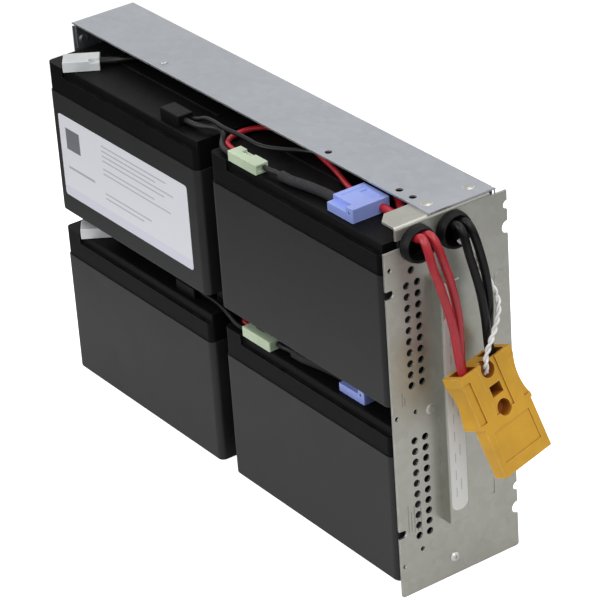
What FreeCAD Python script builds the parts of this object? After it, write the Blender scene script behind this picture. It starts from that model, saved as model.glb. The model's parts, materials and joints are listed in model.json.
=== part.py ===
import FreeCAD, Part
import math
import os
import Sketcher

V = FreeCAD.Vector
TURN = FreeCAD.Rotation

# A plug-in battery cartridge for a two-unit rack power supply. Four sealed
# lead-acid blocks stand two by two in a shallow folded steel tray. A punched end
# panel closes the tray's right end, carries a folded grip, and lets four heavy
# leads out through two rubber grommets to a two-pole power connector.
#
# The cartridge stands on the tray's long lower flange. +X runs along the tray
# to the end panel, +Y runs from the open front of the blocks to the tray's back
# sheet, and +Z is up. The origin is under the middle of the cartridge.

doc = FreeCAD.newDocument("battery_cartridge")

# ---------------------------------------------------------------- dimensions
DIMENSIONS = [
    # the four battery blocks
    ("block_length", 151.0, "along X"),
    ("block_depth", 65.0, "along Y"),
    ("block_height", 94.0, "underside to the top of the lid"),
    ("case_height", 76.5, "underside to the seam under the lid"),
    ("block_corner", 4.0, "radius of the upright corners"),
    ("block_foot", 1.5, "radius round the underside"),
    ("lid_step_height", 6.0, "set-back strip along the lid's top"),
    ("lid_step_depth", 1.6, "how far that strip is set back"),
    ("lid_step_start", 16.0, "full-height end of the lid"),
    ("lid_edge", 0.8, "radius round the lid's top"),
    ("seam_inset", 0.5, "lid stands inside the case by this"),
    ("vent_length", 112.0, "vent cover plate"),
    ("vent_width", 30.0, "vent cover plate"),
    ("vent_thick", 1.6, "vent cover plate"),
    ("vent_sunk", 1.0, "depth of its seat in the lid"),
    ("vent_gap", 0.25, "clearance round the cover"),
    ("vent_back", 6.0, "cover to the lid's back edge"),
    ("terminal_inset", 22.0, "left terminal to the block's left side"),
    ("terminal_reach", 117.0, "right terminal to the block's left side"),
    ("terminal_front", 8.0, "terminals to the block's front"),
    ("tab_width", 6.35, "blade terminal"),
    ("tab_thick", 0.8, "blade terminal"),
    ("tab_height", 4.6, "blade above the lid"),
    ("tab_foot", 3.0, "blade below the lid's top"),
    # how the blocks are spaced
    ("column_gap", 13.0, "between the two columns"),
    ("row_gap", 11.9, "lower lids to the upper cases"),
    ("left_gap", 12.7, "left end wall to the blocks"),
    ("right_gap", 4.7, "blocks to the end panel"),
    ("back_gap", 4.6, "blocks to the back sheet"),
    ("floor_gap", 4.5, "lower flange to the blocks"),
    ("top_gap", 10.4, "upper lids to the upper flange"),
    ("front_inset", 2.0, "blocks behind the panel's front edge"),
    # folded tray
    ("tray_sheet", 1.0, "sheet thickness"),
    ("tray_lip", 43.2, "depth of the flanges, outside"),
    ("bend_inside", 1.0, "inner radius of the folds"),
    ("corner_slit", 0.5, "gap at the open corners of the fold"),
    ("corner_tab", 15.5, "tabs folded inside the end wall"),
    ("corner_tab_inset", 1.5, "tab edge behind the flange's edge"),
    ("relief_hole", 2.6, "round relief where folds meet"),
    ("tray_hole", 4.2, "round holes in the upper flange"),
    ("tray_hole_back", 5.2, "those holes to the flange's front edge"),
    ("tray_hole_one", 31.0, "hole centre to the panel"),
    ("tray_hole_two", 20.0, "hole centre to the panel"),
    ("tray_hole_far", 91.5, "hole centre to the panel"),
    ("tray_bump", 86.0, "raised dimple to the tray's left end"),
    ("bump_radius", 2.4, "raised dimple"),
    ("bump_height", 0.8, "raised dimple"),
    # punched end panel
    ("panel_width", 78.8, "along Y"),
    ("panel_sheet", 1.2, "sheet thickness"),
    ("panel_flange", 15.5, "flange under the tray's upper sheet"),
    ("panel_flange_start", 7.8, "front end of the flanges"),
    ("panel_flange_end", 68.0, "back end of the flanges"),
    ("panel_flange_nip", 6.0, "bevel on the flange's front corner"),
    ("panel_fold_drop", 2.8, "edge beside the fold stands lower"),
    ("strip_height", 7.4, "strip above the cable slot"),
    ("slot_height", 4.8, "cable slot, open to the front edge"),
    ("vent_hole", 4.2, "round vent hole"),
    ("vent_pitch", 6.4, "vent holes, up the panel"),
    ("vent_first", 12.9, "first column to the front edge"),
    ("vent_columns", 6.9, "between the two columns"),
    ("vent_low", 33.9, "lowest hole of the lower group"),
    ("vent_high", 124.2, "lowest hole of the upper group"),
    ("vent_single", 189.6, "single hole above both columns"),
    ("pilot_hole", 2.8, "small round holes"),
    ("notch_small", 2.5, "radius of the smaller edge notches"),
    ("notch_large", 3.7, "radius of the larger edge notches"),
    ("notch_depth", 5.0, "length of the notches in the front edge"),
    ("notch_slot", 4.6, "width of the notches in the front edge"),
    ("mark_height", 9.2, "narrow pressed mark low on the panel"),
    ("mark_width", 2.6, "narrow pressed mark low on the panel"),
    ("mark_depth", 0.35, "depth of the pressed mark"),
    ("boss_radius", 4.2, "round pressed boss high on the panel"),
    ("boss_height", 0.25, "how far the boss stands out"),
    # folded grip on the panel
    ("grip_left", 28.8, "grip to the panel's front edge"),
    ("grip_width", 12.4, "along Y"),
    ("grip_low", 37.0, "lower end of the grip"),
    ("grip_length", 142.0, "along Z"),
    ("grip_proud", 7.5, "stands out of the panel"),
    ("grip_sheet", 1.2, "sheet thickness"),
    ("lug_width", 6.0, "lugs that pass through the panel"),
    ("lug_reach", 1.6, "lug beyond the panel's inner face"),
    ("lug_gap", 0.25, "clearance round a lug"),
    # grommets
    ("grommet_flange", 10.0, "radius of the outer flange"),
    ("grommet_hole", 9.0, "radius of the hole in the panel"),
    ("grommet_lip", 9.7, "radius of the inner lip"),
    ("grommet_bore", 8.1, "radius of the opening for the leads"),
    ("grommet_gap", 0.15, "clearance in the panel's hole"),
    ("grommet_proud", 5.6, "flange outside the panel"),
    ("grommet_inner", 1.6, "lip inside the panel"),
    ("grommet_red", 20.0, "red grommet to the front edge"),
    ("grommet_black", 42.8, "black grommet to the front edge"),
    ("grommet_drop", 12.0, "grommet centres below the panel's top"),
    # leads
    ("lead", 4.6, "diameter of a power lead"),
    ("sense", 2.6, "diameter of the twisted sense pair"),
    ("harness", 3.0, "diameter of an inner harness wire"),
    ("thin_wire", 1.8, "diameter of a thin wire"),
    ("sleeve", 5.4, "diameter of the woven sleeve"),
    # two-pole connector, in its own frame
    ("plug_width", 37.6, "across the two poles"),
    ("plug_thick", 15.1, "front face to back face"),
    ("plug_length", 58.2, "mating end to wire end"),
    ("plug_nose", 28.0, "length of the slimmer mating end"),
    ("plug_nose_thick", 8.4, "thickness of the mating end"),
    ("plug_away", 46.5, "connector's corner to the panel's face"),
    ("plug_across", 33.9, "that corner to the panel's front edge"),
    ("plug_down", 123.1, "that corner below the grommets"),
    ("plug_nose_inset", 1.4, "mating end narrower than the wire end, each side"),
    ("plug_web", 0.8, "middle web and margins below the two barrels"),
    ("plug_barrel", 7.4, "width of each raised barrel"),
    ("plug_barrel_edge", 4.9, "raised barrel to the housing's side"),
    ("plug_barrel_length", 27.6, "raised barrel, from the wire end"),
    ("plug_wall", 2.2, "wall of the housing"),
    ("plug_cavity", 10.2, "width of each wire cavity"),
    ("plug_cavity_depth", 21.0, "depth of each wire cavity"),
    ("plug_waist", 2.4, "depth of the hollow in each side"),
    ("plug_waist_length", 23.2, "length of that hollow"),
    ("plug_waist_rim", 5.0, "wire end to that hollow"),
    ("plug_lip", 1.8, "front lip left standing beside the left hollow"),
    ("plug_round", 0.8, "softened edges"),
    ("plug_opening", 9.0, "width of the three openings between the barrels"),
    ("plug_window", 5.9, "height of the square opening"),
    ("plug_window_up", 15.8, "square opening's centre to the wire end"),
    ("plug_pin_up", 26.2, "round opening's centre to the wire end"),
    ("plug_bay_up", 4.3, "upper bay's centre to the wire end"),
    ("plug_bay_depth", 6.4, "depth of the upper bay"),
    ("plug_label_low", 6.7, "shallow recess to the mating end"),
    ("plug_label_height", 17.5, "shallow recess along the housing"),
    ("plug_label_depth", 0.5, "depth of that recess"),
    ("contact_width", 8.0, "flat contact tongue"),
    ("contact_thick", 2.0, "flat contact tongue"),
    ("contact_length", 30.0, "flat contact tongue"),
    ("barrel_outside", 4.9, "radius of the crimped barrel"),
    ("barrel_length", 14.9, "crimped barrel"),
    # housings on the blocks' terminals
    ("boot_white_length", 21.0, "white insulating boot"),
    ("boot_white_width", 12.5, "white insulating boot"),
    ("boot_white_height", 6.2, "white insulating boot"),
    ("boot_link_length", 25.5, "pale green in-line housing"),
    ("boot_link_width", 8.5, "pale green in-line housing"),
    ("boot_link_height", 5.8, "pale green in-line housing"),
    ("boot_blue_length", 21.5, "blue insulating housing"),
    ("boot_blue_width", 23.8, "blue insulating housing"),
    ("boot_blue_height", 8.0, "blue insulating housing"),
    ("boot_black_length", 18.0, "black insulating boot"),
    ("boot_black_width", 10.0, "black insulating boot"),
    ("boot_black_height", 6.2, "black insulating boot"),
    ("boot_front", 5.0, "blue and black housings to the block's front"),
    ("boot_link_front", 1.2, "green housing to the block's front"),
    ("boot_white_blade", 8.2, "blade to the white boot's closed end"),
    ("boot_link_blade", 4.7, "blade to the green housing's left end"),
    ("boot_blue_blade", 16.0, "blade to the blue housing's left end"),
    ("boot_black_blade", 6.0, "blade to the black boot's left end"),
    ("boot_lift", 0.3, "housings above the lid"),
    ("boot_play", 0.3, "clearance round a blade"),
    ("boot_step", 4.0, "low shelf along the front of the blue housing"),
    ("boot_groove", 0.7, "depth of the moulded grooves"),
    ("boot_round", 0.6, "softened edges of the housings"),
    # fasteners
    ("rivet_shank", 1.6, "radius"),
    ("rivet_head", 3.0, "radius"),
    ("rivet_height", 0.8, "height of a head"),
    ("rivet_gap", 0.1, "clearance round a shank"),
    ("rivet_across", 24.4, "middle rivet to the panel's front edge"),
    ("rivet_up", 106.0, "middle rivet above the base"),
    ("screw_shank", 1.5, "radius"),
    ("screw_head", 2.8, "radius"),
    ("screw_height", 1.2, "height of the head"),
    ("screw_length", 5.2, "panel face to the tip"),
    ("screw_across", 35.1, "screw to the panel's front edge"),
    ("screw_up", 11.1, "screw above the base"),
    ("nut_flats", 5.5, "across flats"),
    ("nut_thick", 2.4, "thickness"),
]

dims = doc.addObject("Spreadsheet::Sheet", "dims")
for row, (alias, value, note) in enumerate(DIMENSIONS, start=1):
    dims.set("A%d" % row, alias)
    dims.set("B%d" % row, str(value))
    dims.set("C%d" % row, note)
    dims.setAlias("B%d" % row, alias)

# Places that follow from the sizes above, kept as formulas in the same sheet.
WORKED_OUT = [
    ("blocks_left", "=tray_sheet + left_gap"),
    ("blocks_right", "=blocks_left + block_length + column_gap"),
    ("blocks_front", "=front_inset"),
    ("blocks_low", "=tray_sheet + floor_gap"),
    ("blocks_high", "=blocks_low + block_height + row_gap"),
    ("panel_inside", "=blocks_right + block_length + right_gap"),
    ("panel_face", "=panel_inside + panel_sheet"),
    ("tray_back", "=blocks_front + block_depth + back_gap + tray_sheet"),
    ("tray_front", "=tray_back - tray_lip"),
    ("tray_height", "=blocks_high + block_height + top_gap + tray_sheet"),
    ("panel_height", "=tray_height"),
    ("centre_x", "=(panel_face + grip_proud - rivet_height) / 2"),
    ("centre_y", "=panel_width / 2"),
    ("rivet_back", "=tray_front + 6"),
    ("panel_top", "=panel_height - tray_sheet"),
    ("lid_top", "=blocks_high + block_height"),
    ("grommet_height", "=panel_top - grommet_drop"),
    ("low_lid_top", "=blocks_low + block_height"),
]
for row, (alias, formula) in enumerate(WORKED_OUT, start=len(DIMENSIONS) + 2):
    dims.set("A%d" % row, alias)
    dims.set("B%d" % row, formula)
    dims.setAlias("B%d" % row, alias)
doc.recompute()


def size(name):
    """The value of a named size, for the shapes that are worked out in code."""
    return float(dims.get(name))


# ------------------------------------------------------------------- helpers
def bind(thing, prop, formula):
    """Binds a property to a formula in which a name alone is a cell of the sheet."""
    words = []
    word = ""
    for letter in formula + " ":
        if letter.isalnum() or letter in "_.":
            word += letter
            continue
        words.append("dims." + word if word and word[0].isalpha() else word)
        words.append(letter)
        word = ""
    thing.setExpression(prop, "".join(words).strip())


def place(thing, x, y, z):
    """Puts a sub-part at a corner given from the tray's left, front, lower corner."""
    bind(thing, "Placement.Base.x", "(%s) - centre_x" % x)
    bind(thing, "Placement.Base.y", "(%s) - centre_y" % y)
    bind(thing, "Placement.Base.z", z)


def new_body(name, x="0", y="0", z="0"):
    body = doc.addObject("PartDesign::Body", name)
    body.Label = name
    place(body, x, y, z)
    return body


def new_sketch(body, plane, name, offset="0"):
    """A sketch on one of the body's own origin planes, moved along its normal."""
    sketch = body.newObject("Sketcher::SketchObject", name)
    support = [f for f in body.Origin.OriginFeatures if f.Role == plane + "_Plane"][0]
    sketch.AttachmentSupport = (support, [""])
    sketch.MapMode = "FlatFace"
    bind(sketch, "AttachmentOffset.Base.z", offset)
    return sketch


def outline(sketch, corners):
    """A closed run of straight sides; each corner is a pair of formulas."""
    first = sketch.GeometryCount
    count = len(corners)
    for step in range(count):
        start = V(step, step * step, 0)
        end = V(step + 1, (step + 1) * (step + 1), 0)
        sketch.addGeometry(Part.LineSegment(start, end), False)
    for step, (across, up) in enumerate(corners):
        side = first + step
        before = first + (step - 1) % count
        sketch.addConstraint(Sketcher.Constraint("Coincident", before, 2, side, 1))
        for kind, formula in (("DistanceX", across), ("DistanceY", up)):
            number = sketch.addConstraint(Sketcher.Constraint(kind, side, 1, 1.0))
            bind(sketch, "Constraints[%d]" % number, formula)


def rectangle(sketch, x, y, width, height):
    right = "(%s) + (%s)" % (x, width)
    top = "(%s) + (%s)" % (y, height)
    outline(sketch, [(x, y), (right, y), (right, top), (x, top)])


def circle(sketch, x, y, radius):
    number = sketch.addGeometry(Part.Circle(V(1, 1, 0), V(0, 0, 1), 1), False)
    for kind, formula in (("DistanceX", x), ("DistanceY", y)):
        place_rule = sketch.addConstraint(Sketcher.Constraint(kind, number, 3, 1.0))
        bind(sketch, "Constraints[%d]" % place_rule, formula)
    size_rule = sketch.addConstraint(Sketcher.Constraint("Radius", number, 1.0))
    bind(sketch, "Constraints[%d]" % size_rule, radius)


def pad(body, sketch, length, backwards=False):
    feature = body.newObject("PartDesign::Pad", sketch.Name + "_pad")
    feature.Profile = sketch
    bind(feature, "Length", length)
    feature.Reversed = backwards
    sketch.Visibility = False
    doc.recompute()
    return feature


def pocket(body, sketch, length, backwards=False):
    """Cuts a sketch into the body, and stops the build if nothing was cut."""
    before = body.Shape.Volume
    feature = body.newObject("PartDesign::Pocket", sketch.Name + "_cut")
    feature.Profile = sketch
    bind(feature, "Length", length)
    feature.Reversed = backwards
    doc.recompute()
    if not body.Shape.Volume < before - 1e-6:
        raise RuntimeError(sketch.Name + " cuts nothing")
    return feature


def edge_names(shape, test):
    """Names of the edges whose middle point and direction pass the test."""
    names = []
    for number, edge in enumerate(shape.Edges, start=1):
        middle = edge.valueAt((edge.FirstParameter + edge.LastParameter) / 2)
        along = edge.tangentAt((edge.FirstParameter + edge.LastParameter) / 2)
        if test(middle, along, edge):
            names.append("Edge%d" % number)
    if not names:
        raise RuntimeError("no edge fits")
    return names


def rounded(body, radius, test):
    base = body.Tip
    feature = body.newObject("PartDesign::Fillet", base.Name + "_round")
    feature.Base = (base, edge_names(base.Shape, test))
    bind(feature, "Radius", radius)
    doc.recompute()
    return feature


def bevelled(body, width, test):
    base = body.Tip
    feature = body.newObject("PartDesign::Chamfer", base.Name + "_bevel")
    feature.Base = (base, edge_names(base.Shape, test))
    bind(feature, "Size", width)
    doc.recompute()
    return feature


def repeated(body, feature, axis, pitch, count):
    """Repeats a cut along an axis of its own sketch."""
    pattern = body.newObject("PartDesign::LinearPattern", feature.Name + "_row")
    pattern.Originals = [feature]
    pattern.Direction = (feature.Profile[0], [axis])
    pattern.Mode = "Spacing"
    bind(pattern, "Offset", pitch)
    pattern.Occurrences = count
    body.Tip = pattern
    doc.recompute()
    return pattern


def near(value, target):
    return abs(value - target) < 0.01


def upright(along):
    return abs(along.z) > 0.99


def lengthwise(along):
    return abs(along.x) > 0.99


def crosswise(along):
    return abs(along.y) > 0.99


def parts_of(name, shapes, x="0", y="0", z="0"):
    """A node that is a group of separate solids, such as a set of rivets."""
    group = doc.addObject("Part::Compound", name)
    group.Label = name
    group.Links = shapes
    place(group, x, y, z)
    return group


sub_parts = []


# ------------------------------------------------------------- battery block
def block_case(name, x, z):
    """The moulded case of a block, up to the seam under its lid."""
    body = new_body(name, x, "blocks_front", z)
    plan = new_sketch(body, "XY", name + "_plan")
    rectangle(plan, "0", "0", "block_length", "block_depth")
    pad(body, plan, "case_height")
    rounded(body, "block_corner", lambda p, a, e: upright(a))
    rounded(body, "block_foot", lambda p, a, e: near(p.z, 0) and not upright(a))
    sub_parts.append(body)


def block_lid(name, x, z):
    """The lid: a set-back strip along both long sides, and a seat for the vents."""
    body = new_body(name, x, "blocks_front", "(%s) + case_height" % z)
    plan = new_sketch(body, "XY", name + "_plan")
    rectangle(plan, "seam_inset", "seam_inset", "block_length - 2 * seam_inset",
              "block_depth - 2 * seam_inset")
    pad(body, plan, "block_height - case_height")
    rounded(body, "block_corner - seam_inset", lambda p, a, e: upright(a))
    top = size("block_height") - size("case_height")
    for side, start in (("front", "0"), ("back", "block_depth - lid_step_depth - seam_inset")):
        step = new_sketch(body, "XY", name + "_step_" + side,
                          "block_height - case_height")
        rectangle(step, "lid_step_start", start, "block_length - lid_step_start + 1",
                  "lid_step_depth + seam_inset")
        pocket(body, step, "lid_step_height")
    seat = new_sketch(body, "XY", name + "_seat", "block_height - case_height")
    rectangle(seat, "(block_length - vent_length) / 2 - vent_gap",
              "block_depth - vent_back - vent_width - vent_gap",
              "vent_length + 2 * vent_gap", "vent_width + 2 * vent_gap")
    pocket(body, seat, "vent_sunk")
    tabs = new_sketch(body, "XY", name + "_tabs", "block_height - case_height")
    for reach in ("terminal_inset", "terminal_reach"):
        rectangle(tabs, reach + " - tab_width / 2", "terminal_front - tab_thick / 2",
                  "tab_width", "tab_thick")
    pocket(body, tabs, "tab_foot")
    rounded(body, "lid_edge", lambda p, a, e: near(p.z, top) and e.Length > 60
            and near(abs(a.x), 1) and (p.y < size("vent_back") - 1
                                       or p.y > size("block_depth") - size("vent_back") + 1))
    sub_parts.append(body)


def vent_cover(name, x, z):
    """The plate glued over a block's valves."""
    body = new_body(name, "(%s) + (block_length - vent_length) / 2" % x,
                    "blocks_front + block_depth - vent_back - vent_width",
                    "(%s) + block_height - vent_sunk" % z)
    plan = new_sketch(body, "XY", name + "_plan")
    rectangle(plan, "0", "0", "vent_length", "vent_width")
    pad(body, plan, "vent_thick")
    rounded(body, "vent_sunk", lambda p, a, e: upright(a))
    bevelled(body, "vent_thick / 4", lambda p, a, e: near(p.z, size("vent_thick")))
    sub_parts.append(body)


def terminals(name, x, z):
    """The two blade terminals of a block, each standing in a slot of the lid."""
    blades = []
    for side, reach in (("minus", "terminal_inset"), ("plus", "terminal_reach")):
        blade = doc.addObject("Part::Box", name + "_" + side)
        bind(blade, "Length", "tab_width")
        bind(blade, "Width", "tab_thick")
        bind(blade, "Height", "tab_foot + tab_height")
        bind(blade, "Placement.Base.x", reach + " - tab_width / 2")
        bind(blade, "Placement.Base.y", "terminal_front - tab_thick / 2")
        bind(blade, "Placement.Base.z", "block_height - tab_foot")
        tip = doc.addObject("Part::Chamfer", name + "_" + side + "_tip")
        doc.recompute()
        tip.Base = blade
        top = size("block_height") + size("tab_height")
        tip.Edges = [
            (int(edge[4:]), 1.2, 1.2)
            for edge in edge_names(blade.Shape, lambda p, a, e: near(p.z, top)
                                   and crosswise(a))
        ]
        blades.append(tip)
    group = parts_of(name, blades, x, "blocks_front", z)
    sub_parts.append(group)


BLOCKS = [
    ("lower_left", "blocks_left", "blocks_low"),
    ("lower_right", "blocks_right", "blocks_low"),
    ("upper_left", "blocks_left", "blocks_high"),
    ("upper_right", "blocks_right", "blocks_high"),
]
for block, left, low in BLOCKS:
    block_case(block + "_case", left, low)
    block_lid(block + "_lid", left, low)
    vent_cover(block + "_vent_cover", left, low)
    terminals(block + "_terminals", left, low)


# ---------------------------------------------------------------- foam pads
def pads(name, boxes):
    """A set of foam pads; each is a corner and three sizes, all formulas."""
    group = []
    for number, (x, y, z, length, width, height) in enumerate(boxes, start=1):
        foam = doc.addObject("Part::Box", "%s_%d" % (name, number))
        bind(foam, "Length", length)
        bind(foam, "Width", width)
        bind(foam, "Height", height)
        bind(foam, "Placement.Base.x", x)
        bind(foam, "Placement.Base.y", y)
        bind(foam, "Placement.Base.z", z)
        group.append(foam)
    sub_parts.append(parts_of(name, group))


pads("back_pads", [
    (left + " + block_length / 6", "blocks_front + block_depth", low + " + case_height / 6",
     "block_length * 2 / 3", "back_gap", "case_height * 2 / 3")
    for block, left, low in BLOCKS
])
pads("floor_pads", [
    (left + " + block_length / 12", "tray_front + 6", "tray_sheet",
     "block_length * 5 / 6", "tray_lip - 16", "floor_gap")
    for block, left, low in BLOCKS[:2]
])
pads("row_spacers", [
    ("%s + %s" % (left, start), "blocks_front + 15",
     "blocks_low + block_height", "10", "14", "row_gap")
    for left, start in (("blocks_left", "4"), ("blocks_left", "block_length - 14"),
                        ("blocks_right", "9"), ("blocks_right", "block_length - 14"))
])
pads("column_spacers", [
    ("blocks_left + block_length", "blocks_front + 12", low + " + case_height / 4",
     "column_gap", "block_depth / 3", "case_height / 2")
    for block, left, low in (BLOCKS[0], BLOCKS[2])
])
pads("left_end_spacers", [
    ("tray_sheet", "blocks_front + block_depth / 2 + 3", low + " + case_height / 4",
     "left_gap", "block_depth / 3", "case_height / 2")
    for block, left, low in (BLOCKS[0], BLOCKS[2])
])
pads("right_end_pads", [
    ("blocks_right + block_length", "blocks_front + 40", low + " + case_height / 6",
     "right_gap", "block_depth / 3", "case_height / 2")
    for block, left, low in (BLOCKS[1], BLOCKS[3])
])

# ------------------------------------------------------------------ the tray
tray = new_body("tray")
section = new_sketch(tray, "YZ", "tray_section")
outline(section, [
    ("tray_front", "0"),
    ("tray_back", "0"),
    ("tray_back", "tray_height"),
    ("tray_front", "tray_height"),
    ("tray_front", "tray_height - tray_sheet"),
    ("tray_back - tray_sheet", "tray_height - tray_sheet"),
    ("tray_back - tray_sheet", "tray_sheet"),
    ("tray_front", "tray_sheet"),
])
pad(tray, section, "panel_face")
outer_fold = "bend_inside + tray_sheet"
rounded(tray, "bend_inside", lambda p, a, e: lengthwise(a)
        and near(p.y, size("tray_back") - size("tray_sheet")))
rounded(tray, outer_fold, lambda p, a, e: lengthwise(a) and near(p.y, size("tray_back")))

right_end = new_sketch(tray, "YZ", "tray_right_end", "panel_inside")
flush_to = "tray_back - %s - corner_slit" % outer_fold
outline(right_end, [
    ("tray_front - 1", "0 - 1"),
    ("tray_back + 1", "0 - 1"),
    ("tray_back + 1", "tray_height + 1"),
    (flush_to, "tray_height + 1"),
    (flush_to, "panel_top"),
    ("tray_front - 1", "panel_top"),
])
pocket(tray, right_end, "panel_sheet", True)

end_wall = new_sketch(tray, "XY", "tray_end_wall", outer_fold + " + corner_slit")
rectangle(end_wall, "0", "tray_front", "tray_sheet", "tray_lip - tray_sheet")
pad(tray, end_wall, "tray_height - 2 * (%s + corner_slit)" % outer_fold)
slits = new_sketch(tray, "YZ", "tray_slits")
for low in ("tray_sheet", "tray_height - %s - corner_slit" % outer_fold):
    rectangle(slits, "tray_front - 1", low, "tray_lip - %s + 1" % outer_fold,
              "corner_slit + bend_inside")
pocket(tray, slits, "tray_sheet", True)

tab_plan = new_sketch(tray, "XY", "tray_corner_tabs", "tray_sheet")
rectangle(tab_plan, "tray_sheet", "tray_front + corner_tab_inset", "tray_sheet",
          "tray_lip - %s - 2 * corner_tab_inset" % outer_fold)
pad(tray, tab_plan, "corner_tab")
tab_top = new_sketch(tray, "XY", "tray_corner_tabs_top", "tray_height - tray_sheet")
rectangle(tab_top, "tray_sheet", "tray_front + corner_tab_inset", "tray_sheet",
          "tray_lip - %s - 2 * corner_tab_inset" % outer_fold)
pad(tray, tab_top, "corner_tab", True)

screw_tab = new_sketch(tray, "XY", "tray_screw_tab", "tray_sheet")
rectangle(screw_tab, "panel_inside - tray_sheet", "tray_front + corner_tab_inset", "tray_sheet",
          "tray_lip - %s - 2 * corner_tab_inset" % outer_fold)
pad(tray, screw_tab, "corner_tab")
tapped = new_sketch(tray, "YZ", "tray_screw_hole", "panel_inside")
circle(tapped, "screw_across", "screw_up", "screw_shank + rivet_gap")
pocket(tray, tapped, "tray_sheet")

holes = new_sketch(tray, "XY", "tray_holes", "tray_height")
for reach in ("tray_hole_one", "tray_hole_two", "tray_hole_far"):
    circle(holes, "panel_face - " + reach, "tray_front + tray_hole_back", "tray_hole / 2")
pocket(tray, holes, "tray_sheet")
relief = new_sketch(tray, "XY", "tray_relief", "tray_height")
circle(relief, "panel_face - relief_hole", "tray_back - relief_hole / 4", "relief_hole / 2")
pocket(tray, relief, "tray_height")
rivet_holes = new_sketch(tray, "XY", "tray_rivet_holes", "tray_height")
for along in ("rivet_back", "panel_flange_end - 6"):
    circle(rivet_holes, "panel_inside - panel_flange * 0.55", along, "rivet_shank + rivet_gap")
pocket(tray, rivet_holes, "tray_sheet")
corner_holes = new_sketch(tray, "YZ", "tray_corner_holes")
for up in ("corner_tab - 4", "tray_height - corner_tab + 4"):
    circle(corner_holes, "tray_front + 5.5", up, "rivet_shank + rivet_gap")
pocket(tray, corner_holes, "2 * tray_sheet", True)
dimple = new_sketch(tray, "XY", "tray_dimple", "tray_height - tray_sheet / 2")
circle(dimple, "tray_bump", "tray_front + 7", "bump_radius")
pad(tray, dimple, "tray_sheet / 2 + bump_height")
rounded(tray, "bump_height * 0.9", lambda p, a, e: near(p.z, size("tray_height")
        + size("bump_height")) and e.Length < 20)
sub_parts.append(tray)

# ------------------------------------------------------------- the end panel
panel = new_body("end_panel", "panel_inside", "0", "0")
face = new_sketch(panel, "YZ", "panel_face_outline")
outline(face, [
    ("0", "0"),
    ("panel_width", "0"),
    ("panel_width", "panel_top - panel_fold_drop"),
    ("panel_flange_end", "panel_top - panel_fold_drop"),
    ("panel_flange_end", "panel_top"),
    ("panel_flange_start", "panel_top"),
    ("panel_flange_start", "panel_top - strip_height"),
    ("grommet_red", "panel_top - strip_height"),
    ("grommet_red", "panel_top - strip_height - slot_height"),
    ("0", "panel_top - strip_height - slot_height"),
])
pad(panel, face, "panel_sheet")

flange = new_sketch(panel, "XZ", "panel_flange_end_view", "0 - panel_flange_end")
rectangle(flange, "0 - panel_flange", "panel_top - panel_sheet", "panel_flange", "panel_sheet")
pad(panel, flange, "panel_flange_end - panel_flange_start")
top_of_panel = size("panel_top")
rounded(panel, "bend_inside", lambda p, a, e: crosswise(a) and near(p.x, 0)
        and near(p.z, top_of_panel - size("panel_sheet")))
rounded(panel, "bend_inside + panel_sheet", lambda p, a, e: crosswise(a)
        and near(p.x, size("panel_sheet")) and near(p.z, top_of_panel))
bevelled(panel, "panel_flange_nip", lambda p, a, e: upright(a)
         and near(p.x, -size("panel_flange")) and near(p.y, size("panel_flange_start")))

mouths = new_sketch(panel, "YZ", "panel_grommet_holes")
circle(mouths, "grommet_red", "grommet_height", "grommet_hole")
circle(mouths, "grommet_black", "grommet_height", "grommet_hole")
pocket(panel, mouths, "panel_sheet", True)

for group in ("vent_low", "vent_high"):
    vents = new_sketch(panel, "YZ", "panel_" + group)
    circle(vents, "vent_first", group, "vent_hole / 2")
    circle(vents, "vent_first + vent_columns", group, "vent_hole / 2")
    repeated(panel, pocket(panel, vents, "panel_sheet", True), "V_Axis", "vent_pitch", 10)

small = new_sketch(panel, "YZ", "panel_small_holes")
circle(small, "vent_first + vent_columns / 2", "vent_single", "vent_hole / 2")
for across, up in (("3.2", "193.7"), ("2.6", "108.4"), ("14.6", "108.1"), ("14.5", "25")):
    circle(small, across, up, "pilot_hole / 2")
circle(small, "2.4", "18.8", "pilot_hole / 2 - 0.2")
pocket(panel, small, "panel_sheet", True)

notches = new_sketch(panel, "YZ", "panel_notches")
circle(notches, "panel_width", "204.8", "notch_small")
circle(notches, "panel_width", "192.2", "notch_large")
circle(notches, "panel_width", "37.2", "notch_small")
circle(notches, "panel_width", "24", "notch_large")
pocket(panel, notches, "panel_sheet", True)
for number, up in enumerate(("180.2", "38.6"), start=1):
    cut = new_sketch(panel, "YZ", "panel_front_notch_%d" % number)
    rectangle(cut, "0 - 1", up + " - notch_slot / 2",
              "1 + notch_depth - notch_slot / 2", "notch_slot")
    pocket(panel, cut, "panel_sheet", True)
    end = new_sketch(panel, "YZ", "panel_front_notch_end_%d" % number)
    circle(end, "notch_depth - notch_slot / 2", up, "notch_slot / 2")
    pocket(panel, end, "panel_sheet", True)
mark = new_sketch(panel, "YZ", "panel_mark", "panel_sheet")
rectangle(mark, "panel_width - 17.5", "39", "mark_width", "mark_height")
pocket(panel, mark, "mark_depth")
boss = new_sketch(panel, "YZ", "panel_boss", "panel_sheet")
circle(boss, "panel_width - 5.9", "panel_top - 50.6", "boss_radius")
pad(panel, boss, "boss_height")

lug_slots = new_sketch(panel, "YZ", "panel_lug_slots")
for up in ("grip_low", "grip_low + grip_length - grip_sheet"):
    rectangle(lug_slots, "grip_left + grip_width / 2 - lug_width / 2 - lug_gap",
              up + " - lug_gap", "lug_width + 2 * lug_gap", "grip_sheet + 2 * lug_gap")
pocket(panel, lug_slots, "panel_sheet", True)

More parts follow.
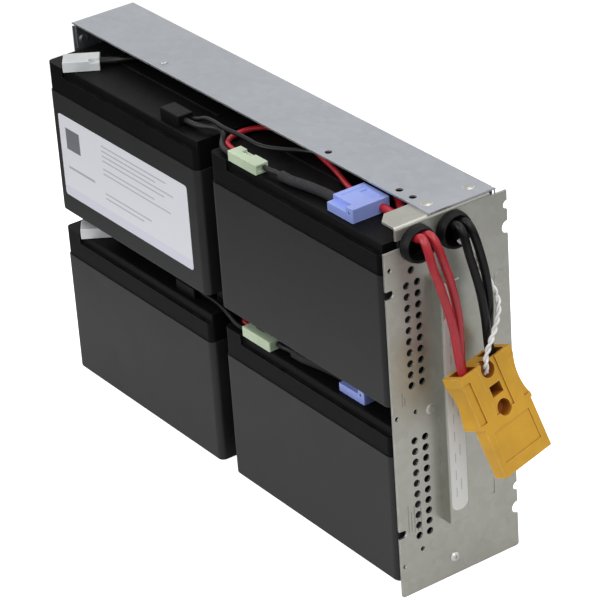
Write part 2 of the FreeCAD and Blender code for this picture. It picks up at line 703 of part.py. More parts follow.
screw_hole = new_sketch(panel, "YZ", "panel_screw_hole")
circle(screw_hole, "screw_across", "screw_up", "screw_shank + rivet_gap")
pocket(panel, screw_hole, "panel_sheet", True)
middle_hole = new_sketch(panel, "YZ", "panel_middle_rivet_hole")
circle(middle_hole, "rivet_across", "rivet_up", "rivet_shank + rivet_gap")
pocket(panel, middle_hole, "panel_sheet", True)
flange_holes = new_sketch(panel, "XY", "panel_rivet_holes", "panel_top")
for along in ("rivet_back", "panel_flange_end - 6"):
    circle(flange_holes, "0 - panel_flange * 0.55", along, "rivet_shank + rivet_gap")
pocket(panel, flange_holes, "panel_sheet")
rounded(panel, "1.5", lambda p, a, e: lengthwise(a) and near(e.Length, size("panel_sheet"))
        and near(p.z, 0))
sub_parts.append(panel)

# ------------------------------------------------------------ the folded grip
grip = new_body("grip", "panel_face", "grip_left", "grip_low")
block = new_sketch(grip, "YZ", "grip_block")
rectangle(block, "0", "0", "grip_width", "grip_length")
pad(grip, block, "grip_proud")
rounded(grip, "grip_sheet + 0.4", lambda p, a, e: near(p.x, size("grip_proud")))
hollow = new_sketch(grip, "YZ", "grip_hollow")
rectangle(hollow, "grip_sheet", "grip_sheet", "grip_width - 2 * grip_sheet",
          "grip_length - 2 * grip_sheet")
pocket(grip, hollow, "grip_proud - grip_sheet", True)
lugs = new_sketch(grip, "YZ", "grip_lugs")
for up in ("0", "grip_length - grip_sheet"):
    rectangle(lugs, "grip_width / 2 - lug_width / 2", up, "lug_width", "grip_sheet")
pad(grip, lugs, "panel_sheet + lug_reach", True)
sub_parts.append(grip)


# ----------------------------------------------------------------- fasteners
def turned(name, profile):
    """A solid turned about Z from a half outline; its corners are formulas."""
    body = doc.addObject("PartDesign::Body", name)
    sketch = new_sketch(body, "XZ", name + "_half")
    outline(sketch, profile)
    feature = body.newObject("PartDesign::Revolution", name + "_turn")
    feature.Profile = sketch
    feature.ReferenceAxis = (sketch, ["V_Axis"])
    feature.Angle = 360
    doc.recompute()
    return body


def rivet(name, clamped, x, y, z, turn):
    """A rivet with a low head at each end of what it clamps."""
    made = turned(name, [
        ("0", "0 - rivet_height"),
        ("rivet_head * 0.6", "0 - rivet_height"),
        ("rivet_head", "0"),
        ("rivet_shank", "0"),
        ("rivet_shank", clamped),
        ("rivet_head", clamped),
        ("rivet_head * 0.6", clamped + " + rivet_height * 0.8"),
        ("0", clamped + " + rivet_height * 0.8"),
    ])
    made.Placement.Rotation = turn
    bind(made, "Placement.Base.x", x)
    bind(made, "Placement.Base.y", y)
    bind(made, "Placement.Base.z", z)
    return made


AS_MADE = TURN(V(0, 0, 1), 0)
POINTING_RIGHT = TURN(V(0, 1, 0), 90)
POINTING_LEFT = TURN(V(0, 1, 0), -90)
sub_parts.append(parts_of("panel_rivets", [
    rivet("front_rivet", "tray_sheet + panel_sheet", "panel_inside - panel_flange * 0.55",
          "rivet_back", "panel_top - panel_sheet", AS_MADE),
    rivet("back_rivet", "tray_sheet + panel_sheet", "panel_inside - panel_flange * 0.55",
          "panel_flange_end - 6", "panel_top - panel_sheet", AS_MADE),
    rivet("middle_rivet", "panel_sheet", "panel_inside", "rivet_across", "rivet_up",
          POINTING_RIGHT),
]))
sub_parts.append(parts_of("corner_rivets", [
    rivet("low_corner_rivet", "2 * tray_sheet", "0", "tray_front + 5.5", "corner_tab - 4",
          POINTING_RIGHT),
    rivet("high_corner_rivet", "2 * tray_sheet", "0", "tray_front + 5.5",
          "tray_height - corner_tab + 4", POINTING_RIGHT),
]))

screw = turned("panel_screw", [
    ("0", "0 - screw_length"),
    ("screw_shank", "0 - screw_length"),
    ("screw_shank", "0"),
    ("screw_head", "0"),
    ("screw_head", "screw_height * 0.4"),
    ("screw_head * 0.7", "screw_height"),
    ("0", "screw_height"),
])
cross = new_sketch(screw, "XY", "screw_cross", "screw_height")
outline(cross, [
    ("0 - screw_shank", "0 - 0.3"), ("0 - 0.3", "0 - 0.3"), ("0 - 0.3", "0 - screw_shank"),
    ("0.3", "0 - screw_shank"), ("0.3", "0 - 0.3"), ("screw_shank", "0 - 0.3"),
    ("screw_shank", "0.3"), ("0.3", "0.3"), ("0.3", "screw_shank"),
    ("0 - 0.3", "screw_shank"), ("0 - 0.3", "0.3"), ("0 - screw_shank", "0.3"),
])
pocket(screw, cross, "screw_height * 0.7")
screw.Label = "panel_screw"
screw.Placement.Rotation = POINTING_RIGHT
place(screw, "panel_face", "screw_across", "screw_up")
sub_parts.append(screw)

nut_core = doc.addObject("Part::Prism", "nut_core")
nut_core.Polygon = 6
bind(nut_core, "Circumradius", "nut_flats / 1.7320508")
bind(nut_core, "Height", "nut_thick")
nut_bore = doc.addObject("Part::Cylinder", "nut_bore")
bind(nut_bore, "Radius", "screw_shank")
bind(nut_bore, "Height", "nut_thick")
nut = doc.addObject("Part::Cut", "panel_nut")
nut.Base = nut_core
nut.Tool = nut_bore
nut.Label = "panel_nut"
nut.Placement.Rotation = POINTING_LEFT
place(nut, "panel_inside - tray_sheet", "screw_across", "screw_up")
sub_parts.append(nut)


# ------------------------------------------------------------------ grommets
def grommet(name, across):
    """A rubber ring that lines a hole of the panel and grips its edge."""
    ring = turned(name, [
        ("grommet_bore", "0 - panel_sheet - grommet_inner"),
        ("grommet_lip", "0 - panel_sheet - grommet_inner"),
        ("grommet_lip", "0 - panel_sheet"),
        ("grommet_hole - grommet_gap", "0 - panel_sheet"),
        ("grommet_hole - grommet_gap", "0"),
        ("grommet_flange", "0"),
        ("grommet_flange", "grommet_proud * 0.5"),
        ("grommet_flange - 0.8", "grommet_proud"),
        ("grommet_bore + 0.4", "grommet_proud"),
        ("grommet_bore", "grommet_proud - 0.4"),
    ])
    ring.Label = name
    ring.Placement.Rotation = POINTING_RIGHT
    place(ring, "panel_face", across, "grommet_height")
    sub_parts.append(ring)


grommet("grommet_red", "grommet_red")
grommet("grommet_black", "grommet_black")


# ------------------------------------------- housings on the blade terminals
BOOT_TURN = 55


def housing(name, colour, x, z):
    """A moulded housing over one blade, which stands at x; z is the lid's top."""
    length, width, height = ("boot_%s_%s" % (colour, of) for of in ("length", "width", "height"))
    blade = "boot_%s_blade" % colour
    front = "boot_link_front" if colour == "link" else "boot_front"
    body = new_body(name, "(%s) - %s" % (x, blade), "blocks_front + " + front, z + " + boot_lift")
    plan = new_sketch(body, "XY", name + "_plan")
    rectangle(plan, "0", "0", length, width)
    pad(body, plan, height)
    top = size(height)
    if colour == "blue":
        step = new_sketch(body, "XY", name + "_step", height)
        rectangle(step, "0 - 1", "0 - 1", length + " - 4", "boot_step + 1")
        pocket(body, step, height + " * 0.4")
        latch = new_sketch(body, "XY", name + "_latch", height)
        rectangle(latch, length + " / 3", width + " - 8", length + " / 2", "4")
        pocket(body, latch, "boot_groove")
        rib = new_sketch(body, "XY", name + "_rib", height)
        rectangle(rib, "3", "boot_step + 2", "1.5", width + " - boot_step - 4")
        pocket(body, rib, "boot_groove")
        eye = new_sketch(body, "XZ", name + "_eye")
        circle(eye, length + " - 3", height + " * 0.62", "0.9")
        pocket(body, eye, "boot_step - 1")
    if colour == "link":
        mouth = new_sketch(body, "YZ", name + "_mouth", length)
        rectangle(mouth, "1.1", "1.1", width + " / 2", height + " - 2.2")
        pocket(body, mouth, "1.2")
        ridge = new_sketch(body, "XY", name + "_ridge", height)
        rectangle(ridge, length + " / 4", width + " - 3.2", length + " / 3", "4")
        pocket(body, ridge, "boot_groove * 2")
    if colour == "white":
        neck = new_sketch(body, "XY", name + "_neck", height)
        rectangle(neck, length + " - 6", "0 - 1", "7", width + " / 3")
        pocket(body, neck, height + " * 0.3")
    slot = new_sketch(body, "XY", name + "_slot")
    if colour == "white":
        circle(slot, blade, width + " / 2", "tab_width / 2 + boot_play")
    else:
        rectangle(slot, blade + " - tab_width / 2 - boot_play",
                  "terminal_front - %s - tab_thick / 2 - boot_play" % front,
                  "tab_width + 2 * boot_play", "tab_thick + 2 * boot_play")
    pocket(body, slot, "tab_height", True)
    ends = (0, size(length))
    rounded(body, "boot_round", lambda p, a, e: (near(p.z, top) and e.Length > 8)
            or (upright(a) and e.Length > top * 0.9 and (near(p.x, ends[0])
                                                         or near(p.x, ends[1]))))
    if colour == "white":
        turn = math.radians(BOOT_TURN)
        body.Placement.Rotation = TURN(V(0, 0, 1), BOOT_TURN)
        across = "(%s * %.6f - %s / 2 * %.6f)" % (blade, math.cos(turn), width, math.sin(turn))
        along = "(%s * %.6f + %s / 2 * %.6f)" % (blade, math.sin(turn), width, math.cos(turn))
        place(body, "(%s) - %s" % (x, across), "blocks_front + terminal_front - " + along,
              z + " + boot_lift")
    sub_parts.append(body)


LEVELS = [("lower", "low_lid_top"), ("upper", "lid_top")]
for level, top in LEVELS:
    housing(level + "_white_boot", "white", "blocks_left + terminal_inset", top)
    housing(level + "_black_boot", "black", "blocks_left + terminal_reach", top)
    housing(level + "_link_housing", "link", "blocks_right + terminal_inset", top)
    housing(level + "_blue_housing", "blue", "blocks_right + terminal_reach", top)


# ------------------------------------------------------------ wires and leads
def wire(name, points, diameter):
    """Straight runs joined by tangent arcs, swept with a round section."""
    corners = [V(x - size("centre_x"), y - size("centre_y"), z) for x, y, z in points]
    pieces = []
    radii = []
    start = corners[0]
    for before, corner, after in zip(corners, corners[1:], corners[2:]):
        towards = (corner - before).normalize()
        away = (after - corner).normalize()
        turn = towards.getAngle(away)
        run = min(before.distanceToPoint(corner), corner.distanceToPoint(after))
        trim = 0.45 * run
        radius = trim / math.tan(turn / 2)
        radii.append(radius)
        first = corner - towards * trim
        last = corner + away * trim
        middle = corner + (away - towards).normalize() * (radius / math.cos(turn / 2) - radius)
        pieces.append(Part.LineSegment(start, first).toShape())
        pieces.append(Part.Arc(first, middle, last).toShape())
        start = last
    pieces.append(Part.LineSegment(start, corners[-1]).toShape())
    path = Part.Wire(pieces)
    facing = corners[1] - corners[0]
    section = Part.Wire(Part.Circle(corners[0], facing, diameter / 2).toShape())
    solid = path.makePipeShell([section], True, False)
    expected = math.pi * diameter ** 2 / 4 * path.Length
    if abs(solid.Volume / expected - 1) > 0.01:
        raise RuntimeError(name + " is not an even tube")
    made = doc.addObject("Part::Feature", name)
    made.Shape = solid
    made.Label = name
    sub_parts.append(made)
    print("%s: length %.1f, least bend radius %.1f" % (name, path.Length, min(radii)))


FACE_X = size("panel_face")
MOUTH_X = FACE_X + size("grommet_proud")
MOUTH_Z = size("grommet_height")
AT_MOUTH = MOUTH_Z + 5.0
HIGH = size("lid_top")
LOW = size("low_lid_top")
LEFT = size("blocks_left")
RIGHT = size("blocks_right")
COLUMN = RIGHT - size("column_gap") / 2
FRONT = size("blocks_front")
LEAD = size("lead")
ON_LID = 3.1
SIDE = 2.45
RED_Y = size("grommet_red")
BLACK_Y = size("grommet_black")
BLADE_Y = FRONT + size("terminal_front")
BOOT_WAY = V(math.cos(math.radians(BOOT_TURN)), math.sin(math.radians(BOOT_TURN)), 0)
WHITE_REACH = size("boot_white_length") - size("boot_white_blade")
WHITE_END = V(LEFT + size("terminal_inset"), BLADE_Y, 0) + BOOT_WAY * WHITE_REACH
BLUE_START = RIGHT + size("terminal_reach") - size("boot_blue_blade")
BLUE_END = BLUE_START + size("boot_blue_length")
BLUE_BACK = FRONT + size("boot_front") + size("boot_blue_width")
LINK_START = RIGHT + size("terminal_inset") - size("boot_link_blade")
LINK_END = LINK_START + size("boot_link_length")
BLACK_END = LEFT + size("terminal_reach") - size("boot_black_blade") + size("boot_black_length")


def from_white_boot(reach, z):
    """A point straight out of a white boot's open end."""
    point = WHITE_END + BOOT_WAY * reach
    return (point.x, point.y, z)


# The four power leads inside the tray, from a housing to a hole of the panel.
wire("red_lead_inside_1", [
    (BLUE_END, FRONT + 24.0, HIGH + ON_LID),
    (BLUE_END + 9, FRONT + 24.0, HIGH + ON_LID),
    (MOUTH_X - 14, RED_Y - SIDE, AT_MOUTH),
    (MOUTH_X, RED_Y - SIDE, AT_MOUTH),
], LEAD)
wire("red_lead_inside_2", [
    (BLUE_END - 9, BLUE_BACK, LOW + ON_LID),
    (BLUE_END - 9, BLUE_BACK + 9, LOW + ON_LID),
    (BLUE_END - 26, FRONT + 48, LOW + ON_LID + 0.2),
    (COLUMN + 22, FRONT + 48, LOW + ON_LID),
    (COLUMN, FRONT + 48, LOW + ON_LID),
    (COLUMN, FRONT + 48.3, LOW + 55),
    (COLUMN, FRONT + 48, HIGH + ON_LID),
    (COLUMN + 25, FRONT + 47.5, HIGH + ON_LID + 0.2),
    (BLUE_END - 20, FRONT + 46, HIGH + ON_LID),
    (BLUE_END + 8, FRONT + 30, HIGH + ON_LID),
    (MOUTH_X - 14, RED_Y + SIDE, AT_MOUTH),
    (MOUTH_X, RED_Y + SIDE, AT_MOUTH),
], LEAD)
wire("black_lead_inside_1", [
    from_white_boot(0, HIGH + ON_LID),
    from_white_boot(8, HIGH + ON_LID),
    (WHITE_END.x + 13, FRONT + 44, HIGH + ON_LID),
    (WHITE_END.x + 32, FRONT + 60, HIGH + ON_LID),
    (WHITE_END.x + 86, FRONT + 62, HIGH + ON_LID),
    (COLUMN + 15, FRONT + 61.5, HIGH + ON_LID),
    (BLUE_END - 12, FRONT + 60.5, HIGH + ON_LID),
    (BLUE_END + 12, FRONT + 50, HIGH + ON_LID),
    (MOUTH_X - 14, BLACK_Y + SIDE, AT_MOUTH),
    (MOUTH_X, BLACK_Y + SIDE, AT_MOUTH),
], LEAD)
wire("black_lead_inside_2", [
    from_white_boot(0, LOW + ON_LID),
    from_white_boot(8, LOW + ON_LID),
    (WHITE_END.x + 13, FRONT + 42, LOW + ON_LID),
    (WHITE_END.x + 32, FRONT + 55, LOW + ON_LID),
    (WHITE_END.x + 76, FRONT + 56.5, LOW + ON_LID),
    (COLUMN - 22, FRONT + 56, LOW + ON_LID + 0.2),
    (COLUMN, FRONT + 56, LOW + ON_LID),
    (COLUMN, FRONT + 56.3, LOW + 55),
    (COLUMN, FRONT + 56, HIGH + ON_LID),
    (COLUMN + 25, FRONT + 55.5, HIGH + ON_LID + 0.2),
    (BLUE_END - 14, FRONT + 54.5, HIGH + ON_LID),
    (BLUE_END + 10, FRONT + 43, HIGH + ON_LID),
    (MOUTH_X - 14, BLACK_Y - SIDE, AT_MOUTH),
    (MOUTH_X, BLACK_Y - SIDE, AT_MOUTH),
], LEAD)

# The harness on top of each row of blocks.
THIN = size("harness")
LINK_Y = FRONT + size("boot_link_front")
for level, top in (("lower", LOW), ("upper", HIGH)):
    wire(level + "_loop_wire", [
        (LINK_START, LINK_Y + 6.3, top + 3.2),
        (LINK_START - 8, LINK_Y + 6.3, top + 3.2),
        (LINK_START - 13, FRONT + 16, top + 3.0),
        (LINK_START - 14, FRONT + 26, top + 2.8),
        (LINK_START - 8, FRONT + 35, top + 2.8),
        (LINK_START + 8, FRONT + 38.5, top + 2.8),
        (LINK_START + 34, FRONT + 35, top + 2.8),
        (BLUE_START - 22, FRONT + 25, top + 3.0),
        (BLUE_START - 9, FRONT + 22, top + 3.2),
        (BLUE_START, FRONT + 22, top + 3.2),
    ], THIN)
    wire(level + "_bridge_wire", [
        (BLACK_END, FRONT + 10, top + 3.0),
        (BLACK_END + 14, FRONT + 10, top + 3.0),
        (COLUMN, FRONT + 7, top + 4.4),
        (LINK_START - 8, LINK_Y + 2.3, top + 3.2),
        (LINK_START, LINK_Y + 2.3, top + 3.2),
    ], THIN)
    wire(level + "_link_wire", [
        (LINK_END, LINK_Y + 5.9, top + 3.2),
        (LINK_END + 5, LINK_Y + 5.9, top + 3.2),
        (LINK_END + 9, FRONT + 8, top + 3.1),
        (LINK_END + 14, FRONT + 8, top + 3.1),
    ], THIN)
    wire(level + "_sleeve", [
        (LINK_END + 14, FRONT + 8, top + 3.1),
        (LINK_END + 22, FRONT + 8, top + 3.1),
        (LINK_END + 34, FRONT + 10.5, top + 3.3),
        (BLUE_START - 11, FRONT + 12.5, top + 3.1),
        (BLUE_START, FRONT + 12.5, top + 3.1),
    ], size("sleeve"))
wire("sense_wire_inside", [
    (BLACK_END, FRONT + 13.2, HIGH + 3.0),
    (BLACK_END + 9, FRONT + 13.2, HIGH + 3.0),
    (BLACK_END + 20, FRONT + 18, HIGH + 6.8),
    (LINK_START - 6, FRONT + 24, HIGH + 7.4),
    (LINK_END - 10, FRONT + 22, HIGH + 6.6),
    (LINK_END + 26, FRONT + 29, HIGH + 7.2),
    (BLUE_START + 9, FRONT + 37, HIGH + 7.4),
    (BLUE_END + 8, FRONT + 50, HIGH + 7.4),
    (MOUTH_X - 22, 55.5, HIGH + 6.0),
    (MOUTH_X - 13, 50.6, HIGH + 3.4),
    (MOUTH_X - 7.6, BLACK_Y + 5.8, MOUTH_Z + 0.8),
    (MOUTH_X - 4.4, BLACK_Y + 0.8, MOUTH_Z - 4.2),
    (MOUTH_X, BLACK_Y + 0.4, MOUTH_Z - 4.6),
], size("sense"))


def outside(points):
    """Points given from the panel's outer face and the grommets' height."""
    return [(FACE_X + x, y, MOUTH_Z + z) for x, y, z in points]


# The free ends of the leads, from a hole of the panel to the connector.
wire("red_lead_1", outside([
    (5.6, 17.55, 5.0), (10.2, 17.5, 5.0), (13.8, 17.2, 2.8), (15.5, 17.3, -2.0),
    (16.3, 18.0, -8.4),
    (17.4, 20.4, -16.4), (18.2, 23.6, -29.4), (18.7, 27.0, -43.4), (18.6, 29.0, -57.4),
    (19.61, 29.80, -69.33), (22.20, 31.07, -76.25),
]), LEAD)
wire("red_lead_2", outside([
    (5.6, 22.45, 5.0), (10.0, 22.4, 5.0), (13.4, 23.0, 2.8), (15.1, 24.2, -2.2),
    (15.9, 25.5, -8.6),
    (16.6, 27.6, -16.4), (17.0, 30.2, -29.0), (16.6, 32.6, -43.0), (15.4, 33.4, -57.0),
    (15.89, 32.84, -70.17), (18.48, 34.11, -77.09),
]), LEAD)
wire("black_lead_1", outside([
    (5.6, 40.35, 5.0), (9.4, 40.3, 5.0), (12.4, 40.3, 2.8), (13.8, 41.0, -2.4),
    (14.5, 42.2, -9.6),
    (15.5, 44.6, -20.0), (16.2, 47.2, -32.0), (16.4, 49.2, -46.0), (16.3, 50.1, -57.0),
    (16.68, 50.42, -66.66), (19.27, 51.69, -73.58),
]), LEAD)
wire("black_lead_2", outside([
    (5.6, 45.25, 5.0), (9.2, 45.25, 5.0), (12.0, 46.0, 2.8), (13.2, 47.6, -2.8),
    (13.7, 49.6, -10.5),
    (14.4, 51.9, -22.0), (14.4, 53.6, -34.0), (13.8, 54.2, -46.0), (12.6, 54.0, -57.0),
    (12.96, 53.46, -67.50), (15.55, 54.73, -74.42),
]), LEAD)
wire("sense_pair", outside([
    (5.6, 43.2, -4.6), (9.2, 43.2, -4.6), (10.8, 44.6, -8.2), (10.8, 47.6, -13.6),
    (10.2, 50.8, -19.4),
    (11.0, 55.4, -27.6), (13.4, 58.4, -35.4), (16.4, 58.5, -42.2), (19.0, 55.0, -48.2),
    (21.4, 50.6, -53.6), (23.4, 45.8, -58.6), (24.3, 42.2, -63.8), (23.7, 42.9, -70.2),
    (22.8, 43.3, -74.5),
]), size("sense"))

# ----------------------------------------------------- the two-pole connector
POLE_LEFT = "(plug_wall + plug_cavity / 2 + 1.0)"
POLE_RIGHT = "(plug_width - %s)" % POLE_LEFT
PLUG_TURN = TURN(98.10, -7.32, -21.46)


def plug_place(thing):
    """The connector hangs from its leads, turned a little to the front."""
    thing.Placement.Rotation = PLUG_TURN
    bind(thing, "Placement.Base.x", "panel_face + plug_away - centre_x")
    bind(thing, "Placement.Base.y", "plug_across - centre_y")
    bind(thing, "Placement.Base.z", "grommet_height - plug_down")


plug = doc.addObject("PartDesign::Body", "connector_housing")
plug.Label = "connector_housing"
plug_place(plug)
rear = new_sketch(plug, "XY", "plug_rear", "plug_nose")
rectangle(rear, "0", "0", "plug_width", "plug_thick")
pad(plug, rear, "plug_length - plug_nose")
nose = new_sketch(plug, "XY", "plug_front_half")
rectangle(nose, "plug_nose_inset", "0", "plug_width - 2 * plug_nose_inset",
          "plug_nose_thick")
pad(plug, nose, "plug_nose")
back_nose = new_sketch(plug, "XY", "plug_back_half", "plug_nose / 5")
rectangle(back_nose, "plug_width / 2 + 2", "plug_nose_thick", "plug_width / 2 - 4.4",
          "plug_thick - plug_nose_thick - 1.4")
pad(plug, back_nose, "plug_nose * 4 / 5")
corner_lines = (0, size("plug_width"))
rounded(plug, "plug_round", lambda p, a, e: upright(a) and e.Length > 20
        and (near(p.x, corner_lines[0]) or near(p.x, corner_lines[1])))
HOLLOW = "(plug_waist_length ^ 2 / 8 / plug_waist + plug_waist / 2)"
HOLLOW_UP = "plug_length - plug_waist_rim - plug_waist_length / 2"
left_hollow = new_sketch(plug, "XZ", "plug_left_hollow", "0 - plug_lip")
circle(left_hollow, "plug_waist - " + HOLLOW, HOLLOW_UP, HOLLOW)
pocket(plug, left_hollow, "plug_thick")
right_hollow = new_sketch(plug, "XZ", "plug_right_hollow")
circle(right_hollow, "plug_width - plug_waist + " + HOLLOW, HOLLOW_UP, HOLLOW)
pocket(plug, right_hollow, "plug_thick - plug_lip")
web = new_sketch(plug, "XZ", "plug_web")
rectangle(web, "plug_barrel_edge + plug_barrel", "plug_length - plug_barrel_length",
          "plug_width - 2 * (plug_barrel_edge + plug_barrel)", "plug_barrel_length + 1")
pocket(plug, web, "plug_web")
for side, edge in (("left", "0 - 1"), ("right", "plug_width - plug_barrel_edge")):
    margin = new_sketch(plug, "XZ", "plug_margin_" + side)
    rectangle(margin, edge, "plug_length - plug_barrel_length", "plug_barrel_edge + 1",
              "plug_barrel_length - 4")
    pocket(plug, margin, "plug_web")
window = new_sketch(plug, "XZ", "plug_window_outline")
rectangle(window, "(plug_width - plug_opening + 1.2) / 2",
          "plug_length - plug_window_up - plug_window / 2", "plug_opening - 1.2", "plug_window")
pocket(plug, window, "plug_thick - plug_wall")
pin_hole = new_sketch(plug, "XZ", "plug_pin_hole")
circle(pin_hole, "plug_width / 2", "plug_length - plug_pin_up", "plug_opening / 2")
pocket(plug, pin_hole, "plug_thick / 2")
bay = new_sketch(plug, "XZ", "plug_bay")
circle(bay, "plug_width / 2", "plug_length - plug_bay_up", "plug_opening / 2")
pocket(plug, bay, "plug_bay_depth")
mouth = new_sketch(plug, "XZ", "plug_bay_mouth")
rectangle(mouth, "plug_width / 2 - plug_opening * 0.36", "plug_length - plug_bay_up",
          "plug_opening * 0.72", "plug_bay_up + 1")
pocket(plug, mouth, "plug_bay_depth / 2")
recess = new_sketch(plug, "XZ", "plug_recess")
rectangle(recess, "plug_barrel_edge + 0.6", "plug_label_low",
          "plug_width - 2 * plug_barrel_edge - 1.2", "plug_label_height")
pocket(plug, recess, "plug_label_depth")
for count, pole in enumerate((POLE_LEFT, POLE_RIGHT), start=1):
    cavity = new_sketch(plug, "XY", "plug_cavity_%d" % count, "plug_length")
    rectangle(cavity, "%s - plug_cavity / 2" % pole, "plug_wall", "plug_cavity",
              "plug_thick - 2 * plug_wall")
    pocket(plug, cavity, "plug_cavity_depth")
    blade_way = new_sketch(plug, "XY", "plug_blade_way_%d" % count)
    rectangle(blade_way, "%s - contact_width / 2 - 0.4" % pole, "plug_thick / 2 - 2.3",
              "contact_width + 0.8", "3.8")
    pocket(plug, blade_way, "plug_length - plug_cavity_depth + 0.5", True)
sub_parts.append(plug)

contacts = []
springs = []
for count, pole in enumerate((POLE_LEFT, POLE_RIGHT), start=1):
    contact = doc.addObject("PartDesign::Body", "contact_%d" % count)
    tongue = new_sketch(contact, "XY", "contact_tongue_%d" % count,
                        "plug_length - plug_cavity_depth - contact_length")
    rectangle(tongue, "%s - contact_width / 2" % pole, "plug_thick / 2 - 2.1",
              "contact_width", "contact_thick")
    pad(contact, tongue, "contact_length")
    crimp = new_sketch(contact, "XY", "contact_crimp_%d" % count,
                       "plug_length - plug_cavity_depth")
    circle(crimp, pole, "plug_thick / 2", "barrel_outside")
    pad(contact, crimp, "barrel_length")
    rounded(contact, "contact_thick / 3", lambda p, a, e: lengthwise(a) and p.z < 10)
    contacts.append(contact)
    spring = doc.addObject("Part::Box", "contact_spring_%d" % count)
    bind(spring, "Length", "contact_width - 1")
    bind(spring, "Width", "0.6")
    bind(spring, "Height", "8")
    bind(spring, "Placement.Base.x", "%s - contact_width / 2 + 0.5" % pole)
    bind(spring, "Placement.Base.y", "plug_thick / 2 + 0.1")
    bind(spring, "Placement.Base.z", "plug_nose")
    springs.append(spring)
for name, group in (("connector_contacts", contacts), ("connector_springs", springs)):
    together = doc.addObject("Part::Compound", name)
    together.Label = name
    together.Links = group
    plug_place(together)
    sub_parts.append(together)

# -------------------------------------------------------------- checks, files
doc.recompute()
for thing in doc.Objects:
    if "Invalid" in thing.State or "Error" in thing.State:
        raise RuntimeError(thing.Name + " did not compute")
for thing in sub_parts:
    if thing.Shape.isNull() or not thing.Shape.isValid():
        raise RuntimeError(thing.Label + " has no sound shape")

os.makedirs("parts", exist_ok=True)
for thing in sub_parts:
    thing.Shape.exportStep("parts/%s.step" % thing.Label)
print("%d sub-parts written" % len(sub_parts))
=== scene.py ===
# %% [markdown]
# A plug-in battery cartridge for a rack power supply. Its steel tray, punched end
# panel, battery blocks and connector come from a CAD frame. This lesson gives
# them finishes, lays the loose leads as smooth curves, adds the labels, and sets
# up a plain studio round them. Everything is in metres.

# %% Load the frame
import bpy
import json
import math
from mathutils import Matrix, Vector


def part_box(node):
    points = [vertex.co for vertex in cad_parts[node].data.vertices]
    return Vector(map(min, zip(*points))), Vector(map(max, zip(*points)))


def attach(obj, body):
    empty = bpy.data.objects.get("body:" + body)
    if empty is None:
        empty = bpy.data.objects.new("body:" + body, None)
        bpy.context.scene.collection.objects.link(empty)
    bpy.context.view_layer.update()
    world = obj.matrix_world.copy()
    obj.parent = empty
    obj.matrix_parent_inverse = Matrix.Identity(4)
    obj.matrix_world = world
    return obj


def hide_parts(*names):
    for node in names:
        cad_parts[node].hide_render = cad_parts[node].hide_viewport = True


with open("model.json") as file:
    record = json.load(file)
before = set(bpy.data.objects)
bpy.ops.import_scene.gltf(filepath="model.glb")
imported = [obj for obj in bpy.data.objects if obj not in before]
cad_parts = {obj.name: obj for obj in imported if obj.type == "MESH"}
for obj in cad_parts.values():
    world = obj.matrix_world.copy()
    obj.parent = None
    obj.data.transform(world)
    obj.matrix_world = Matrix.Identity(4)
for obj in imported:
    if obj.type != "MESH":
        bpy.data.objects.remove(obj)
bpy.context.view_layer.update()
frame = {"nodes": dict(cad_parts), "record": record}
print("nodes:", len(frame["nodes"]))

# %% [markdown]
# The camera comes first. It stands well back with a long lens, so upright edges
# lean only a little and the cartridge keeps its true proportions. A small roll
# makes the long tray run gently down to the right.

# %% Camera
camera_data = bpy.data.cameras.new("view")
camera_data.lens = 183.42
camera_data.clip_start = 0.1
camera_data.clip_end = 50
camera = bpy.data.objects.new("view", camera_data)
camera.location = (1.25124, -0.82373, 0.90163)
camera.rotation_euler = [math.radians(turn) for turn in (61.7033, 3.6622, 54.0526)]
bpy.context.collection.objects.link(camera)
bpy.context.scene.camera = camera
print("camera at", tuple(round(c, 3) for c in camera.location))

# %% [markdown]
# The leads are fixed lengths of stiff wire that arch out of the two grommets and
# drop into the wire end of the connector. A NURBS spline with the route's corners as
# control points gives each one a smooth line. Order 3 keeps it near the corners.

# %% Where the leads leave, and the routes they take
MOUTH = Vector((0.16395, -0.0394, 0.2038))
LEAD = 0.0046
ROUTES = {
    "red_lead_1": [
        (0.0056, 0.01755, 0.0050), (0.0094, 0.0166, 0.0078), (0.0134, 0.0160, 0.0062),
        (0.0156, 0.0166, -0.0002), (0.0164, 0.0178, -0.0080), (0.0174, 0.0204, -0.0164),
        (0.0182, 0.0236, -0.0294), (0.0187, 0.0270, -0.0434), (0.0186, 0.0290, -0.0574),
        (0.01961, 0.02980, -0.06933), (0.02220, 0.03107, -0.07625)],
    "red_lead_2": [
        (0.0056, 0.02245, 0.0050), (0.0092, 0.0217, 0.0076), (0.0130, 0.0219, 0.0060),
        (0.0152, 0.0234, -0.0006), (0.0160, 0.0252, -0.0082), (0.0166, 0.0276, -0.0164),
        (0.0170, 0.0302, -0.0290), (0.0166, 0.0326, -0.0430), (0.0154, 0.0334, -0.0570),
        (0.01589, 0.03284, -0.07017), (0.01848, 0.03411, -0.07709)],
    "black_lead_1": [
        (0.0056, 0.04035, 0.0050), (0.0092, 0.0400, 0.0062), (0.0124, 0.0400, 0.0042),
        (0.0139, 0.0408, -0.0016), (0.0145, 0.0422, -0.0096), (0.0155, 0.0446, -0.0200),
        (0.0162, 0.0472, -0.0320), (0.0164, 0.0492, -0.0460), (0.0163, 0.0501, -0.0570),
        (0.01668, 0.05042, -0.06666), (0.01927, 0.05169, -0.07358)],
    "black_lead_2": [
        (0.0056, 0.04525, 0.0050), (0.0090, 0.0452, 0.0062), (0.0120, 0.0458, 0.0040),
        (0.0133, 0.0474, -0.0020), (0.0137, 0.0496, -0.0105), (0.0144, 0.0519, -0.0220),
        (0.0144, 0.0536, -0.0340), (0.0138, 0.0542, -0.0460), (0.0126, 0.0540, -0.0570),
        (0.01296, 0.05346, -0.06750), (0.01555, 0.05473, -0.07442)],
}
